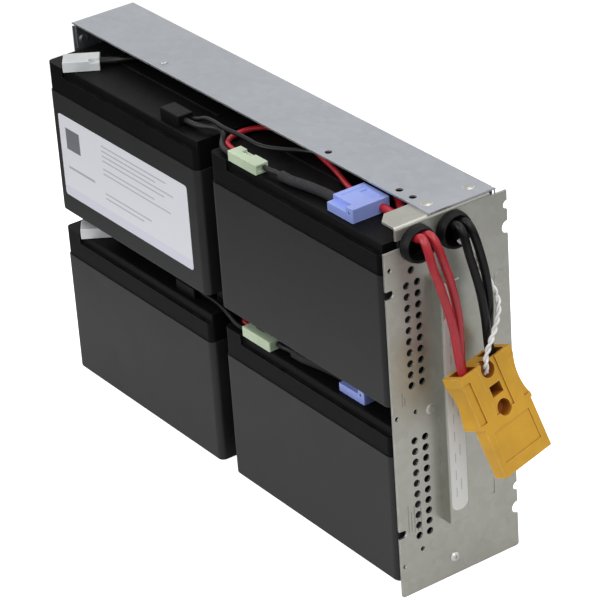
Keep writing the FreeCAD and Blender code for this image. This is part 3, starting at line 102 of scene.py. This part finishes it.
SENSE_ROUTE = [
    (0.0056, 0.0432, -0.0046), (0.0092, 0.0432, -0.0046), (0.0108, 0.0446, -0.0082),
    (0.0108, 0.0476, -0.0136), (0.0102, 0.0508, -0.0194), (0.0110, 0.0554, -0.0276),
    (0.0134, 0.0584, -0.0354), (0.0164, 0.0585, -0.0422), (0.0190, 0.0550, -0.0482),
    (0.0214, 0.0506, -0.0536), (0.0234, 0.0458, -0.0586), (0.0243, 0.0422, -0.0638),
    (0.0237, 0.0429, -0.0702), (0.0228, 0.0433, -0.0745)]


# %% A curve through a route's control points
def lead_curve(name, route, radius):
    """One open NURBS spline; the order is set last, or Blender keeps it straight."""
    data = bpy.data.curves.new(name, "CURVE")
    data.dimensions = "3D"
    spline = data.splines.new("NURBS")
    spline.points.add(len(route) - 1)
    for point, corner in zip(spline.points, route):
        point.co = (*(MOUTH + Vector(corner)), 1)
    spline.order_u = 3
    spline.use_endpoint_u = True
    spline.resolution_u = 12
    data.bevel_depth = radius
    data.bevel_resolution = 6
    data.use_fill_caps = True
    piece = bpy.data.objects.new(name, data)
    bpy.context.collection.objects.link(piece)
    return piece


def centreline(piece):
    """The points of a curve with no bevel, in order."""
    mesh = bpy.data.meshes.new_from_object(piece)
    points = [vertex.co.copy() for vertex in mesh.vertices]
    bpy.data.meshes.remove(mesh)
    return points


def length_along(points):
    return sum((b - a).length for a, b in zip(points, points[1:]))


def only(*pieces):
    """Selects these pieces and nothing else; the last one is the active one."""
    bpy.ops.object.select_all(action="DESELECT")
    for piece in pieces:
        piece.select_set(True)
        bpy.context.view_layer.objects.active = piece


def cable(name, route, thick):
    """A mesh tube along the smooth line of a route, in place of the CAD node."""
    bare = lead_curve(name + "_line", route, 0)
    bare.data.use_fill_caps = False
    line = centreline(bare)
    bpy.data.objects.remove(bare)
    tube = lead_curve(name + "_cable", route, thick / 2)
    only(tube)
    bpy.ops.object.convert(target="MESH")
    bpy.ops.object.shade_smooth_by_angle(angle=math.radians(40))
    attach(tube, "root")
    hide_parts(name)
    return tube


# %% The four power leads
leads = {}
for name, route in ROUTES.items():
    slot = "red_insulation" if "red" in name else "black_insulation"
    tube = cable(name, route, LEAD)
    leads[name] = (tube, slot)

# %% [markdown]
# Three thin wires show on top of the upper blocks. They are soft, so they bow back
# under the tray's upper sheet between the housings that hold their ends. The sense
# wire climbs before it crosses the bridge wire, so the two don't touch.

# %% The wires between the upper housings
LID = Vector((-0.17065, -0.0394, 0.2054))
INNER = {
    "upper_loop_wire": (0.0030, "red_insulation", [
        (0.1950, 0.0095, 0.0032), (0.1875, 0.0095, 0.0032), (0.1800, 0.0130, 0.0030),
        (0.1750, 0.0230, 0.0028), (0.1765, 0.0345, 0.0028), (0.1860, 0.0435, 0.0029),
        (0.2030, 0.0450, 0.0030), (0.2200, 0.0405, 0.0030), (0.2360, 0.0375, 0.0030),
        (0.2500, 0.0340, 0.0031), (0.2620, 0.0300, 0.0032), (0.2710, 0.0268, 0.0033),
        (0.2787, 0.0262, 0.0033)]),
    "upper_bridge_wire": (0.0030, "grey_insulation", [
        (0.1427, 0.0120, 0.0030), (0.1480, 0.0120, 0.0030), (0.1545, 0.0130, 0.0030),
        (0.1620, 0.0185, 0.0032), (0.1710, 0.0180, 0.0034), (0.1815, 0.0085, 0.0034),
        (0.1890, 0.0055, 0.0032), (0.1950, 0.0055, 0.0032)]),
    "sense_wire_inside": (0.0026, "black_insulation", [
        (0.1427, 0.0152, 0.0030), (0.1480, 0.0158, 0.0038), (0.1540, 0.0172, 0.0066),
        (0.1640, 0.0168, 0.0076), (0.1740, 0.0155, 0.0077), (0.1900, 0.0172, 0.0078),
        (0.2050, 0.0164, 0.0076), (0.2160, 0.0225, 0.0074), (0.2280, 0.0330, 0.0074),
        (0.2465, 0.0390, 0.0074), (0.2877, 0.0450, 0.0074), (0.3082, 0.0520, 0.0074),
        (0.3182, 0.0555, 0.0060), (0.3272, 0.0506, 0.0034), (0.3326, 0.0486, -0.0008),
        (0.3358, 0.0436, -0.0058), (0.3402, 0.0432, -0.0062)]),
}
for name, (thick, slot, route) in INNER.items():
    placed = [Vector(corner) + LID - MOUTH for corner in route]
    tube = cable(name, placed, thick)
    leads[name] = (tube, slot)

# %% [markdown]
# The two thin sense wires are twisted round each other. The twist is a helix of
# two strands about the route's line, so it catches light the way a real pair does.

# %% The twisted sense pair
SENSE = 0.0032
STRAND_RADIUS = SENSE / 4
TWIST = 0.0105
sense_line = lead_curve("sense_line", SENSE_ROUTE, 0)
sense_line.data.use_fill_caps = False
middle = centreline(sense_line)
bpy.data.objects.remove(sense_line)


def strand(name, phase):
    """A wire that winds round the middle line, a quarter of the pair's width out."""
    data = bpy.data.curves.new(name, "CURVE")
    data.dimensions = "3D"
    data.bevel_depth = STRAND_RADIUS
    data.bevel_resolution = 3
    data.use_fill_caps = True
    line = data.splines.new("POLY")
    line.points.add(len(middle) - 1)
    across = Vector((0, 1, 0))
    gone = 0
    for number, centre in enumerate(middle):
        ahead = middle[min(number + 1, len(middle) - 1)]
        behind = middle[max(number - 1, 0)]
        along = (ahead - behind).normalized()
        across = (across - along * across.dot(along)).normalized()
        if number:
            gone += (centre - middle[number - 1]).length
        angle = phase + 2 * math.pi * gone / TWIST
        offset = across * math.cos(angle) + along.cross(across) * math.sin(angle)
        line.points[number].co = (*(centre + offset * STRAND_RADIUS), 1)
    piece = bpy.data.objects.new(name, data)
    bpy.context.collection.objects.link(piece)
    return piece


strands = [strand("strand_a", 0), strand("strand_b", math.pi)]
only(*strands)
bpy.ops.object.convert(target="MESH")
bpy.ops.object.join()
sense_pair = bpy.context.view_layer.objects.active
sense_pair.name = "twisted_sense_pair"
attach(sense_pair, "root")
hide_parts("sense_pair")
print("sense pair is", round(length_along(middle) * 1000, 1), "mm long")

# %% [markdown]
# Every finish below starts from a Principled shader whose colour, roughness and
# bump come from procedural noise in object coordinates. Effects that several
# finishes share are node groups, built once here.

# %% A small kit for node trees
def new_group(name, inputs, outputs):
    """A shader node group; every socket is named and given its first value."""
    tree = bpy.data.node_groups.new(name, "ShaderNodeTree")
    for label, kind, value in inputs:
        socket = tree.interface.new_socket(label, in_out="INPUT", socket_type=kind)
        if value is not None:
            socket.default_value = value
    for label, kind in outputs:
        tree.interface.new_socket(label, in_out="OUTPUT", socket_type=kind)
    return tree, tree.nodes.new("NodeGroupInput"), tree.nodes.new("NodeGroupOutput")


def node(tree, kind, **settings):
    """Adds a node. A setting that names an input fills it, or links it if it's a socket."""
    made = tree.nodes.new("ShaderNode" + kind)
    for key, value in settings.items():
        name = key.replace("_", " ")
        if hasattr(made, key) and not isinstance(value, bpy.types.NodeSocket):
            setattr(made, key, value)
            continue
        numbered = key[0] == "i" and key[1:].isdigit()
        target = made.inputs[int(key[1:])] if numbered else made.inputs[name]
        if isinstance(value, bpy.types.NodeSocket):
            tree.links.new(value, target)
        else:
            target.default_value = value
    return made


def maths(tree, operation, first, second=0.5):
    return node(tree, "Math", operation=operation, i0=first, i1=second).outputs[0]


def blend_colours(tree, factor, first, second):
    mixed = node(tree, "Mix", data_type="RGBA", i0=factor)
    for socket, value in ((mixed.inputs[6], first), (mixed.inputs[7], second)):
        if isinstance(value, bpy.types.NodeSocket):
            tree.links.new(value, socket)
        else:
            socket.default_value = value
    return mixed.outputs[2]


def ramp(tree, value, low, high):
    """0 below low, 1 above high, and smooth between."""
    spread = node(tree, "MapRange", interpolation_type="SMOOTHSTEP", Value=value)
    spread.inputs["From Min"].default_value = low
    spread.inputs["From Max"].default_value = high
    return spread.outputs["Result"]


# %% Shared effects: mottling, grain, edge wear and settled dust
mottle, m_in, m_out = new_group(
    "Mottling", [("Position", "NodeSocketVector", None), ("Scale", "NodeSocketFloat", 40.0)],
    [("Amount", "NodeSocketFloat")])
broad = node(mottle, "TexNoise", Vector=m_in.outputs["Position"], Scale=m_in.outputs["Scale"],
             Detail=4.0, Roughness=0.62)
mottle.links.new(broad.outputs["Fac"], m_out.inputs["Amount"])

grain, g_in, g_out = new_group(
    "Moulded Grain",
    [("Position", "NodeSocketVector", None), ("Scale", "NodeSocketFloat", 2600.0)],
    [("Height", "NodeSocketFloat")])
pits = node(grain, "TexVoronoi", Vector=g_in.outputs["Position"], Scale=g_in.outputs["Scale"])
waves = node(grain, "TexNoise", Vector=g_in.outputs["Position"], Scale=420.0, Detail=3.0)
grain.links.new(maths(grain, "ADD", maths(grain, "MULTIPLY", pits.outputs["Distance"], 0.6),
                      waves.outputs["Fac"]), g_out.inputs["Height"])

edges, e_in, e_out = new_group(
    "Edge Wear", [("Position", "NodeSocketVector", None), ("Width", "NodeSocketFloat", 0.0006)],
    [("Wear", "NodeSocketFloat")])
soft = node(edges, "Bevel", Radius=e_in.outputs["Width"])
plain = node(edges, "NewGeometry")
agree = node(edges, "VectorMath", operation="DOT_PRODUCT", i0=soft.outputs["Normal"],
             i1=plain.outputs["Normal"])
worn = ramp(edges, maths(edges, "SUBTRACT", 1.0, agree.outputs["Value"]), 0.002, 0.08)
patchy = node(edges, "TexNoise", Vector=e_in.outputs["Position"], Scale=180.0, Detail=3.0)
edges.links.new(maths(edges, "MULTIPLY", worn, ramp(edges, patchy.outputs["Fac"], 0.32, 0.62)),
                e_out.inputs["Wear"])

dust, d_in, d_out = new_group(
    "Settled Dust", [("Position", "NodeSocketVector", None), ("Amount", "NodeSocketFloat", 0.3)],
    [("Dust", "NodeSocketFloat")])
facing = node(dust, "NewGeometry")
upward = node(dust, "SeparateXYZ", Vector=facing.outputs["Normal"])
flat = ramp(dust, upward.outputs["Z"], 0.5, 0.98)
specks = node(dust, "TexNoise", Vector=d_in.outputs["Position"], Scale=700.0, Detail=5.0)
dust.links.new(maths(dust, "MULTIPLY", maths(dust, "MULTIPLY", flat,
                                             ramp(dust, specks.outputs["Fac"], 0.45, 0.75)),
                     d_in.outputs["Amount"]), d_out.inputs["Dust"])
print("node groups:", [tree.name for tree in bpy.data.node_groups])


# %% [markdown]
# A finish is one function call per material. Sheet steel is zinc plated, so it
# is a metal with faint cloudy mottling and fine rolling lines. Moulded plastic is
# a dark or coloured dielectric with a pitted grain and paler rubbed edges.

# %% Sheet steel
def start(name, roughness, metallic=0.0):
    material = bpy.data.materials.new(name)
    material.use_nodes = True
    tree = material.node_tree
    shader = tree.nodes["Principled BSDF"]
    shader.inputs["Roughness"].default_value = roughness
    shader.inputs["Metallic"].default_value = metallic
    place = node(tree, "TexCoord").outputs["Object"]
    return material, tree, shader, place


def use_group(tree, group, place, **settings):
    used = tree.nodes.new("ShaderNodeGroup")
    used.node_tree = group
    tree.links.new(place, used.inputs["Position"])
    for key, value in settings.items():
        used.inputs[key].default_value = value
    return used.outputs[0]


def bump(tree, shader, height, distance, strength=0.5):
    made = node(tree, "Bump", Height=height, Distance=distance, Strength=strength)
    tree.links.new(made.outputs["Normal"], shader.inputs["Normal"])


PRINT_COLOUR = (0.10, 0.10, 0.09, 1)
PRINT_STRENGTH = 0.45


def sheet_steel(name, light, dark, roughness, rubbed=0.7, print_bars=()):
    material, tree, shader, place = start(name, roughness, 0.88)
    clouds = use_group(tree, mottle, place, Scale=26.0)
    spangle = node(tree, "TexVoronoi", Vector=place, Scale=210.0).outputs["Color"]
    flake = node(tree, "SeparateColor", Color=spangle).outputs[0]
    tone = blend_colours(tree, ramp(tree, clouds, 0.3, 0.72), dark, light)
    tone = blend_colours(tree, maths(tree, "MULTIPLY", flake, 0.10), tone, (0.62, 0.63, 0.62, 1))
    wear = use_group(tree, edges, place, Width=0.0005)
    tone = blend_colours(tree, maths(tree, "MULTIPLY", wear, rubbed), tone, (0.78, 0.78, 0.77, 1))
    if print_bars:
        spot = node(tree, "SeparateXYZ", Vector=place)
        for low_y, low_z, high_y, high_z in print_bars:
            across = maths(tree, "COMPARE", spot.outputs["Y"], (low_y + high_y) / 2)
            across.node.inputs[2].default_value = (high_y - low_y) / 2
            upward = maths(tree, "COMPARE", spot.outputs["Z"], (low_z + high_z) / 2)
            upward.node.inputs[2].default_value = (high_z - low_z) / 2
            bar = maths(tree, "MULTIPLY", across, upward)
            tone = blend_colours(tree, maths(tree, "MULTIPLY", bar, PRINT_STRENGTH), tone,
                                 PRINT_COLOUR)
    tree.links.new(tone, shader.inputs["Base Color"])
    stretched = node(tree, "Mapping", Vector=place, Scale=(1.0, 22.0, 1.0))
    lines = node(tree, "TexNoise", Vector=stretched.outputs["Vector"], Scale=240.0, Detail=2.0)
    gloss = maths(tree, "ADD", maths(tree, "MULTIPLY", lines.outputs["Fac"], 0.14),
                  maths(tree, "ADD", maths(tree, "MULTIPLY", clouds, 0.16), roughness - 0.14))
    tree.links.new(gloss, shader.inputs["Roughness"])
    bump(tree, shader, lines.outputs["Fac"], 0.00004, 0.35)
    return material


tray_steel = sheet_steel("tray zinc steel", (0.375, 0.395, 0.425, 1), (0.345, 0.365, 0.395, 1),
                         0.42)
# Three small blocks of faint print on the panel, as upright bars of a few lengths.
FRONT_EDGE = -0.0394
PANEL_PRINT = [(FRONT_EDGE + 0.001 * y, 0.001 * low, FRONT_EDGE + 0.001 * (y + 0.7), 0.001 * high)
               for y, low, high in ((6.0, 38, 55), (8.0, 38, 50), (10.0, 37, 53), (12.0, 37, 49),
                                    (14.2, 36, 51), (32.4, 49, 59), (34.4, 48, 56),
                                    (35.6, 60, 79), (6.2, 114, 122), (7.8, 114, 119))]
panel_steel = sheet_steel("panel zinc steel", (0.385, 0.382, 0.340, 1), (0.345, 0.342, 0.303, 1),
                          0.36, print_bars=PANEL_PRINT)
rivet_zinc = sheet_steel("rivet zinc", (0.36, 0.38, 0.41, 1), (0.33, 0.35, 0.38, 1), 0.42, 0.1)
bright_steel = sheet_steel("bright fastener steel", (0.7, 0.7, 0.68, 1), (0.55, 0.55, 0.53, 1),
                           0.28)


# %% Moulded plastics
def moulded(name, colour, rubbed, roughness, wear=0.6, dusty=0.25, grain_scale=2600.0,
            depth=0.00005, shine=0.5, painted_recess_shade=None):
    material, tree, shader, place = start(name, roughness)
    shader.inputs["Specular IOR Level"].default_value = shine
    clouds = use_group(tree, mottle, place, Scale=34.0)
    darker = tuple(channel * 0.82 for channel in colour[:3]) + (1,)
    tone = blend_colours(tree, ramp(tree, clouds, 0.32, 0.7), darker, colour)
    rubbing = maths(tree, "MULTIPLY", use_group(tree, edges, place, Width=0.0007), wear)
    tone = blend_colours(tree, rubbing, tone, rubbed)
    settled = use_group(tree, dust, place, Amount=dusty)
    tone = blend_colours(tree, settled, tone, (0.34, 0.33, 0.31, 1))
    tree.links.new(tone, shader.inputs["Base Color"])
    gloss = maths(tree, "ADD", maths(tree, "MULTIPLY", clouds, 0.18), roughness - 0.09)
    tree.links.new(gloss, shader.inputs["Roughness"])
    bump(tree, shader, use_group(tree, grain, place, Scale=grain_scale), depth, 0.6)
    # Painted shade: where the AO node finds a recess, the base colour is painted darker towards the
    # given deep brown.
    if painted_recess_shade:
        recess_occlusion = node(tree, "AmbientOcclusion", Distance=0.009, samples=8).outputs["AO"]
        painted_shade_tone = blend_colours(tree, ramp(tree, recess_occlusion, 0.25, 0.9), painted_recess_shade, tone)
        tree.links.new(painted_shade_tone, shader.inputs["Base Color"])
    return material


case_black = moulded("battery case black", (0.012, 0.012, 0.0122, 1), (0.06, 0.06, 0.06, 1),
                     0.46, 0.35, 0.02, shine=0.36)
lid_black = moulded("battery lid black", (0.0045, 0.0045, 0.0047, 1), (0.05, 0.05, 0.05, 1),
                    0.42, 0.35, 0.01, shine=0.05)
vent_black = moulded("vent cover black", (0.004, 0.004, 0.0042, 1), (0.03, 0.03, 0.03, 1),
                     0.45, 0.3, 0.01, shine=0.04)
boot_black = moulded("black boot", (0.004, 0.004, 0.0045, 1), (0.02, 0.02, 0.02, 1),
                     0.45, 0.3, 0.01, shine=0.09)
boot_white = moulded("white boot", (0.62, 0.64, 0.64, 1), (0.8, 0.8, 0.8, 1), 0.42, 0.3, 0.2)
link_green = moulded("pale green housing", (0.50, 0.60, 0.42, 1), (0.72, 0.8, 0.66, 1),
                     0.40, 0.4, 0.1)
boot_blue = moulded("blue housing", (0.28, 0.36, 0.78, 1), (0.55, 0.62, 0.9, 1), 0.36, 0.5, 0.1)
# The deep brown given last is painted shade for the connector's holes and hollows.
plug_amber = moulded("amber connector", (0.62, 0.325, 0.020, 1), (0.84, 0.58, 0.16, 1),
                     0.48, 0.5, 0.05, 1500.0, painted_recess_shade=(0.30, 0.085, 0.006, 1))
rubber_black = moulded("grommet rubber", (0.006, 0.006, 0.006, 1), (0.03, 0.03, 0.03, 1),
                       0.5, 0.3, 0.01, shine=0.14)
foam_dark = moulded("dark foam", (0.020, 0.020, 0.021, 1), (0.05, 0.05, 0.05, 1),
                    0.9, 0.3, 0.2, 900.0, 0.0004, shine=0.2)
print("plastics made")


# %% Wire insulation, sleeve and contact metal
def insulation(name, colour, roughness=0.38, shine=0.5):
    material, tree, shader, place = start(name, roughness)
    shader.inputs["Specular IOR Level"].default_value = shine
    clouds = use_group(tree, mottle, place, Scale=120.0)
    darker = tuple(channel * 0.75 for channel in colour[:3]) + (1,)
    tree.links.new(blend_colours(tree, ramp(tree, clouds, 0.3, 0.7), darker, colour),
                   shader.inputs["Base Color"])
    tree.links.new(maths(tree, "ADD", maths(tree, "MULTIPLY", clouds, 0.2), roughness - 0.1),
                   shader.inputs["Roughness"])
    bump(tree, shader, clouds, 0.0002, 0.3)
    return material


red_wire = insulation("red insulation", (0.40, 0.012, 0.022, 1), 0.34)
black_wire = insulation("black insulation", (0.004, 0.004, 0.0045, 1), 0.34, 0.22)
grey_wire = insulation("grey insulation", (0.018, 0.018, 0.020, 1), 0.4, 0.25)
white_wire = insulation("white insulation", (0.84, 0.83, 0.80, 1), 0.45)
sleeve_weave = moulded("woven sleeve", (0.018, 0.018, 0.020, 1), (0.07, 0.07, 0.07, 1),
                       0.75, 0.4, 0.1, 700.0, 0.0005, shine=0.3)
tinned = sheet_steel("tinned contact", (0.72, 0.70, 0.62, 1), (0.58, 0.55, 0.46, 1), 0.30)

# %% Every node and cable gets its finish
FINISHES = {
    "zinc_steel": tray_steel, "grip_steel": panel_steel, "case_plastic": case_black,
    "lid_plastic": lid_black, "vent_plastic": vent_black, "tinned_blade": tinned,
    "foam": foam_dark, "grommet_rubber": rubber_black, "rivet_steel": bright_steel,
    "screw_steel": bright_steel, "white_boot_plastic": boot_white,
    "black_boot_plastic": boot_black, "green_plastic": link_green,
    "blue_plastic": boot_blue, "red_insulation": red_wire, "black_insulation": black_wire,
    "grey_insulation": grey_wire, "woven_sleeve": sleeve_weave,
    "white_insulation": white_wire, "amber_plastic": plug_amber, "contact_copper": tinned,
    "spring_steel": bright_steel}


def dress(piece, material):
    piece.data.materials.clear()
    piece.data.materials.append(material)


slots = {part["node"]: part["material_slot"] for part in frame["record"]["subparts"]}
for name, slot in slots.items():
    part = frame["nodes"][name]
    for place in part.material_slots:
        place.material = FINISHES[slot]
for name, material in (("end_panel", panel_steel), ("panel_rivets", panel_steel),
                       ("corner_rivets", rivet_zinc)):
    for place in frame["nodes"][name].material_slots:
        place.material = material
for lead, slot in leads.values():
    dress(lead, FINISHES[slot])
dress(sense_pair, white_wire)
print("finishes given to", len(slots), "nodes")

# %% [markdown]
# Two paper labels are stuck on: a wide one on the upper left block and a long one
# down the grip. Both are thin plates with rounded corners. Their print is left as
# plain bars, which is all that a generic label needs.

# %% Labels
def paper(name, low, high, axis, thickness=0.00018, corner=0.002, steps=4):
    """A thin plate with rounded corners, facing along -Y or +X."""
    across = 0 if axis == "y" else 1
    only()
    bpy.ops.mesh.primitive_plane_add(size=1)
    piece = bpy.context.active_object
    piece.name = name
    wide = high[across] - low[across]
    tall = high[2] - low[2]
    piece.dimensions = (wide, tall, 0)
    piece.rotation_euler = (math.radians(90), 0, 0 if axis == "y" else math.radians(90))
    piece.location = [(a + b) / 2 for a, b in zip(low, high)]
    bpy.ops.object.transform_apply(location=True, rotation=True, scale=True)
    bpy.ops.object.mode_set(mode="EDIT")
    bpy.ops.mesh.select_all(action="SELECT")
    bpy.ops.mesh.bevel(offset=corner, segments=steps, affect="VERTICES")
    bpy.ops.mesh.select_all(action="SELECT")
    shift = (0, -thickness, 0) if axis == "y" else (thickness, 0, 0)
    bpy.ops.mesh.extrude_region_move(TRANSFORM_OT_translate={"value": shift})
    bpy.ops.mesh.select_all(action="SELECT")
    bpy.ops.mesh.normals_make_consistent(inside=False)
    bpy.ops.object.mode_set(mode="OBJECT")
    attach(piece, "root")
    print(name, round(wide * 1000, 1), "by", round(tall * 1000, 1), "mm")
    return piece


case_left, case_front, case_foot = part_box("upper_left_case")[0]
block_low = (case_left + 0.0076, case_front, case_foot + 0.0123)
block_high = (case_left + 0.1395, case_front, case_foot + 0.0641)
block_label = paper("block_label", block_low, block_high, "y")
grip_low, grip_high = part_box("grip")
strip_low = (grip_high[0], grip_low[1] + 0.0006, grip_low[2] + 0.0075)
strip_high = (grip_high[0], grip_high[1] - 0.0012, grip_low[2] + 0.1240)
grip_label = paper("grip_label", strip_low, strip_high, "x", corner=0.0046, steps=8)


# %% Label print
def paper_print(name, paper_colour, field_colour, low, high, axis, bars, fields):
    """White paper with plain bars and fields; each is a box in shares of the label."""
    material, tree, shader, place = start(name, 0.42)
    shares = node(tree, "SeparateXYZ", Vector=place)
    across = shares.outputs["X" if axis == "y" else "Y"]
    along = 0 if axis == "y" else 1
    u = maths(tree, "DIVIDE", maths(tree, "SUBTRACT", across, low[along]), high[along] - low[along])
    v = maths(tree, "DIVIDE", maths(tree, "SUBTRACT", shares.outputs["Z"], low[2]),
              high[2] - low[2])

    def inside(left, bottom, right, top):
        sides = [maths(tree, "GREATER_THAN", u, left), maths(tree, "LESS_THAN", u, right),
                 maths(tree, "GREATER_THAN", v, bottom), maths(tree, "LESS_THAN", v, top)]
        first = maths(tree, "MULTIPLY", sides[0], sides[1])
        return maths(tree, "MULTIPLY", first, maths(tree, "MULTIPLY", sides[2], sides[3]))

    fibres = node(tree, "TexNoise", Vector=place, Scale=900.0, Detail=4.0).outputs["Fac"]
    tone = blend_colours(tree, maths(tree, "MULTIPLY", fibres, 0.12), paper_colour,
                         (0.5, 0.5, 0.52, 1))
    for box, colour in [(box, field_colour) for box in fields] + bars:
        tone = blend_colours(tree, inside(*box), tone, colour)
    tree.links.new(tone, shader.inputs["Base Color"])
    bump(tree, shader, fibres, 0.00003, 0.4)
    return material


INK = (0.16, 0.16, 0.18, 1)
GREY_INK = (0.42, 0.42, 0.45, 1)
block_bars = [((0.05, 0.60, 0.16, 0.86), INK), ((0.05, 0.36, 0.26, 0.39), GREY_INK)]
block_bars += [((0.34, level, 0.34 + width, level + 0.016), GREY_INK)
               for level, width in ((0.88, 0.5), (0.82, 0.42), (0.76, 0.55), (0.70, 0.48),
                                    (0.60, 0.4), (0.54, 0.52), (0.30, 0.36), (0.24, 0.3))]
dress(block_label, paper_print(
    "block label paper", (0.74, 0.74, 0.78, 1), (0.66, 0.66, 0.74, 1),
    block_low, block_high, "y", block_bars, [(0.0, 0.0, 1.0, 0.12)]))
grip_bars = [((0.30, level, 0.36, level + 0.05), GREY_INK)
             for level in (0.07, 0.16, 0.25, 0.36, 0.45, 0.54, 0.66, 0.75, 0.84)]
grip_bars += [((0.60, level, 0.66, level + 0.06), GREY_INK) for level in (0.1, 0.28, 0.48, 0.70)]
dress(grip_label, paper_print(
    "grip label paper", (0.66, 0.66, 0.63, 1), (0.62, 0.62, 0.6, 1),
    strip_low, strip_high, "x", grip_bars, []))

# %% [markdown]
# The studio is one flat floor, three large soft lamps and an even pale world: the
# key stands high on the right, the fill in front, and the third above. The
# floor glows to the camera alone, so it looks white. For other rays its colour
# holds a painted pool of light, pale in the middle and painted dark away from it,
# so the upper blocks mirror a dimmer room than the lower ones do.

# %% Floor
only()
bpy.ops.mesh.primitive_grid_add(x_subdivisions=40, y_subdivisions=40, size=12)
floor = bpy.context.active_object
floor.name = "studio_floor"
floor_paint = bpy.data.materials.new("studio floor")
floor_paint.use_nodes = True
tree = floor_paint.node_tree
shader = tree.nodes["Principled BSDF"]
spot = node(tree, "TexCoord").outputs["Object"]
# Painted light: the floor colour is a pool of light, pale near the cartridge and painted dark away
# from it.
light_pool_map = node(tree, "Mapping", Vector=spot, Location=(-0.1375, -0.065, 0), Scale=(0.55, 1.3, 1))
away = node(tree, "VectorMath", operation="LENGTH", i0=light_pool_map.outputs["Vector"]).outputs["Value"]
painted_light_pool = blend_colours(tree, ramp(tree, away, 0.30, 0.52), (0.88, 0.88, 0.88, 1),
                     (0.08, 0.08, 0.08, 1))
tree.links.new(painted_light_pool, shader.inputs["Base Color"])
shader.inputs["Roughness"].default_value = 0.9
shader.inputs["Specular IOR Level"].default_value = 0.0
glow = node(tree, "Emission", Color=(1, 1, 1, 1), Strength=0.98)
path = node(tree, "LightPath")
seen = path.outputs["Is Camera Ray"]
both = tree.nodes.new("ShaderNodeAddShader")
tree.links.new(shader.outputs[0], both.inputs[0])
tree.links.new(glow.outputs[0], both.inputs[1])
chosen = node(tree, "MixShader", Fac=seen)
tree.links.new(shader.outputs[0], chosen.inputs[1])
tree.links.new(both.outputs[0], chosen.inputs[2])
tree.links.new(chosen.outputs[0], tree.nodes["Material Output"].inputs["Surface"])
dress(floor, floor_paint)

# %% World
world = bpy.data.worlds.new("studio")
bpy.context.scene.world = world
world.use_nodes = True
tree = world.node_tree
tree.nodes["Background"].inputs["Color"].default_value = (0.95, 0.97, 1.0, 1)
tree.nodes["Background"].inputs["Strength"].default_value = 0.45
bright = node(tree, "Background", Color=(1, 1, 1, 1), Strength=1.0)
path = node(tree, "LightPath")
seen = maths(tree, "MAXIMUM", path.outputs["Is Camera Ray"], path.outputs["Is Glossy Ray"])
seen = maths(tree, "MAXIMUM", seen, path.outputs["Is Transmission Ray"])
chosen = node(tree, "MixShader", Fac=seen)
tree.links.new(tree.nodes["Background"].outputs[0], chosen.inputs[1])
tree.links.new(bright.outputs[0], chosen.inputs[2])
tree.links.new(chosen.outputs[0], tree.nodes["World Output"].inputs["Surface"])


# %% Lamps
def lamp(name, spot, aim, width, power):
    data = bpy.data.lights.new(name, "AREA")
    data.shape = "SQUARE"
    data.size = width
    data.energy = power
    made = bpy.data.objects.new(name, data)
    made.location = spot
    made.rotation_euler = (Vector(aim) - Vector(spot)).to_track_quat("-Z", "Y").to_euler()
    bpy.context.collection.objects.link(made)
    print(name, power, "W")


CENTRE = (0, 0, 0.11)
lamp("key", (1.4, -0.5, 1.6), CENTRE, 1.1, 13)
lamp("fill", (-0.2, -1.8, 0.9), CENTRE, 1.4, 20)
lamp("top", (0.5, 0.4, 1.7), CENTRE, 1.4, 10)
bpy.context.scene.view_settings.view_transform = "Standard"

# %% The end
bpy.context.view_layer.update()
